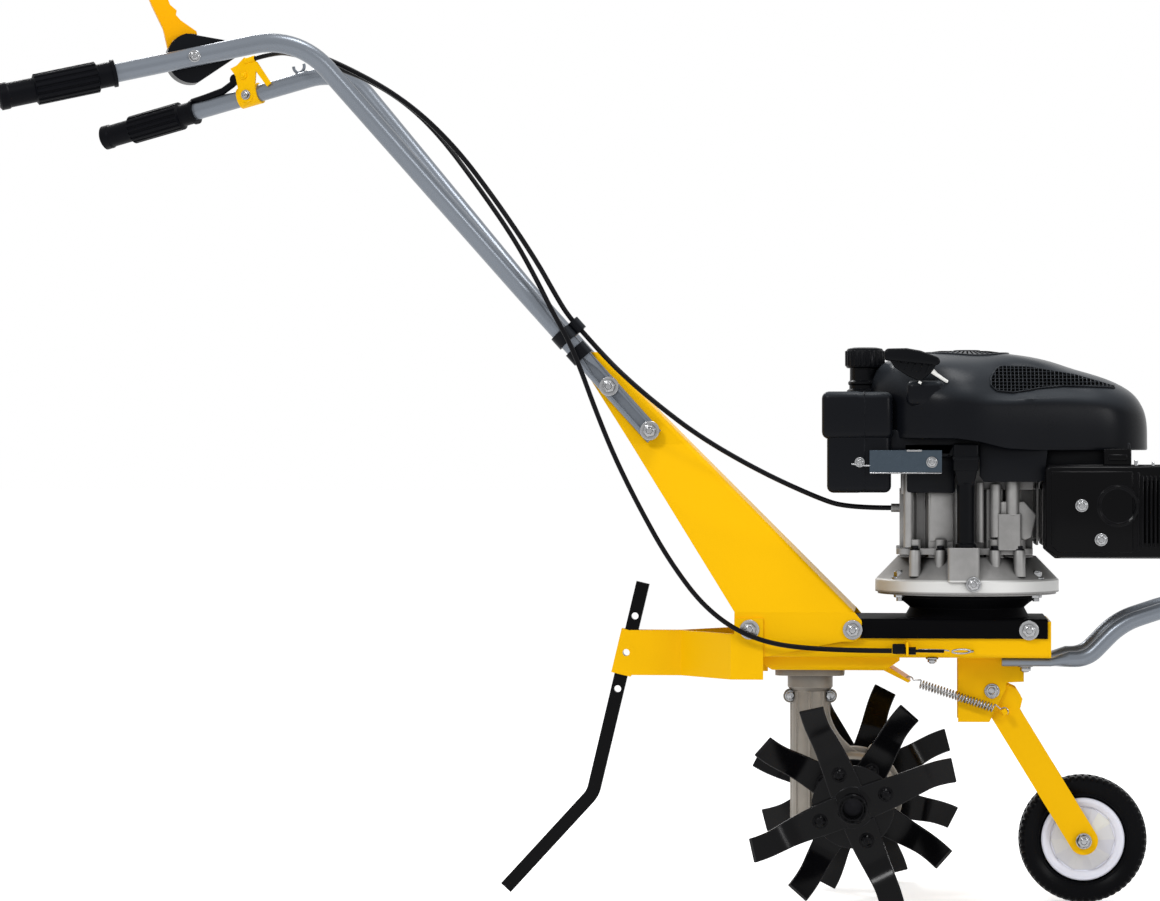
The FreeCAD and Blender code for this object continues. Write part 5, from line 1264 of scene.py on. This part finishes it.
def make_sky():
    """White all round where it is seen, and a little dimmer as a lamp."""
    world = bpy.data.worlds.new("world")
    bpy.context.scene.world = world
    sky = Shader(world, "Background")
    sky.finish(Color=(1.0, 1.0, 1.0), Strength=sky.seen_directly() * (1.0 - SKY_GLOW) + SKY_GLOW)


def make_lamps():
    """Square lamps aimed at the machine's middle, and the plain view transform."""
    for name, place, size, power in LAMPS:
        data = bpy.data.lights.new(name, "AREA")
        data.size = size
        data.energy = power
        light = placed(name, data)
        light.location = place
        light.rotation_euler = look_at(light.location, LAMP_TARGET)
    bpy.context.scene.view_settings.view_transform = "Standard"


# ---- operators

class TILLER_OT_stage(bpy.types.Operator):
    """Set up the camera, the white floor and the soft lamps"""
    bl_idname = "tiller.stage"
    bl_label = "Stage"

    def execute(self, context):
        make_camera()
        make_floor()
        make_sky()
        make_lamps()
        return {"FINISHED"}


class TILLER_OT_cables(bpy.types.Operator):
    """Lay the throttle and clutch cables from the controls to the engine and the tray"""
    bl_idname = "tiller.cables"
    bl_label = "Cables"

    def execute(self, context):
        make_cable("throttle_line", THROTTLE_ROUTE, "throttle_cable")
        make_cable("clutch_line", CLUTCH_ROUTE, "clutch_cable")
        return {"FINISHED"}


class TILLER_OT_finishes(bpy.types.Operator):
    """Give every part of the assembly the finish of its slot"""
    bl_idname = "tiller.finishes"
    bl_label = "Finishes"

    def execute(self, context):
        for name, slot in SLOTS.items():
            mesh = NODES[name].data
            mesh.materials.clear()
            mesh.materials.append(material(OWN_FINISH.get(name, slot)))
        return {"FINISHED"}


class TILLER_OT_wheel(bpy.types.Operator):
    """Make the transport wheel's tyre, disc and nuts"""
    bl_idname = "tiller.wheel"
    bl_label = "Wheel"

    def execute(self, context):
        make_tyre()
        make_disc()
        make_wheel_nuts()
        return {"FINISHED"}


class TILLER_OT_blower(bpy.types.Operator):
    """Make the blower housing with its air intakes and the starter grip"""
    bl_idname = "tiller.blower"
    bl_label = "Blower housing"

    def execute(self, context):
        make_blower_housing()
        make_starter_grip()
        return {"FINISHED"}


class TILLER_OT_tank(bpy.types.Operator):
    """Make the fuel tank with its cap and screws"""
    bl_idname = "tiller.tank"
    bl_label = "Fuel tank"

    def execute(self, context):
        make_fuel_tank()
        make_tank_cap()
        make_tank_screws()
        return {"FINISHED"}


class TILLER_OT_engine(bpy.types.Operator):
    """Make the dipstick, the bolts and the small castings of the engine"""
    bl_idname = "tiller.engine"
    bl_label = "Engine trim"

    def execute(self, context):
        make_dipstick()
        make_baffle()
        make_engine_bolts()
        make_case_castings()
        make_filter_trim()
        make_sump_screws()
        make_linkage_trim()
        return {"FINISHED"}


class TILLER_OT_silencer(bpy.types.Operator):
    """Make the silencer with its outlet and guard"""
    bl_idname = "tiller.silencer"
    bl_label = "Silencer"

    def execute(self, context):
        make_silencer()
        return {"FINISHED"}


class TILLER_OT_spring(bpy.types.Operator):
    """Wind the spring of the wheel's arm"""
    bl_idname = "tiller.spring"
    bl_label = "Arm spring"

    def execute(self, context):
        make_arm_spring()
        return {"FINISHED"}


class TILLER_OT_tines(bpy.types.Operator):
    """Forge the four sets of tines"""
    bl_idname = "tiller.tines"
    bl_label = "Tines"

    def execute(self, context):
        make_tines()
        return {"FINISHED"}


class TILLER_OT_fasteners(bpy.types.Operator):
    """Put the bolts on the chassis, the handlebars and the tine sets"""
    bl_idname = "tiller.fasteners"
    bl_label = "Fasteners"

    def execute(self, context):
        make_deck_bolts()
        make_tine_bolts()
        return {"FINISHED"}


class TILLER_OT_controls(bpy.types.Operator):
    """Make the clutch lever, the cable hook, the adjuster and the controls' screws"""
    bl_idname = "tiller.controls"
    bl_label = "Controls"

    def execute(self, context):
        make_control_screws()
        make_cable_hook()
        make_clutch_lever()
        make_cable_adjuster()
        return {"FINISHED"}


OPERATORS = (TILLER_OT_stage, TILLER_OT_cables, TILLER_OT_finishes, TILLER_OT_wheel, TILLER_OT_blower,
             TILLER_OT_tank, TILLER_OT_engine, TILLER_OT_silencer, TILLER_OT_spring, TILLER_OT_tines,
             TILLER_OT_fasteners, TILLER_OT_controls)


class TILLER_PT_looks(bpy.types.Panel):
    """Sizes, colours and steps of the tiller's looks"""
    bl_label = "Garden tiller"
    bl_idname = "TILLER_PT_looks"
    bl_space_type = "VIEW_3D"
    bl_region_type = "UI"
    bl_category = "Tiller"

    def draw(self, context):
        for group in (context.scene.tiller_colours, context.scene.tiller_sizes):
            column = self.layout.column()
            for name in group.bl_rna.properties.keys():
                if name not in ("rna_type", "name"):
                    column.prop(group, name)
        column = self.layout.column(align=True)
        for operator in OPERATORS:
            column.operator(operator.bl_idname)


CLASSES = (TillerColours, TillerSizes, *OPERATORS, TILLER_PT_looks)


def register():
    for entry in CLASSES:
        bpy.utils.register_class(entry)
    bpy.types.Scene.tiller_colours = PointerProperty(type=TillerColours)
    bpy.types.Scene.tiller_sizes = PointerProperty(type=TillerSizes)


def unregister():
    del bpy.types.Scene.tiller_sizes
    del bpy.types.Scene.tiller_colours
    for entry in reversed(CLASSES):
        bpy.utils.unregister_class(entry)


def write_sizes():
    """Brings the view layer up to date."""
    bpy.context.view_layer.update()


def main():
    register()
    for operator in OPERATORS:
        group, name = operator.bl_idname.split(".")
        getattr(getattr(bpy.ops, group), name)()
    write_sizes()


if __name__ == "__main__":
    main()
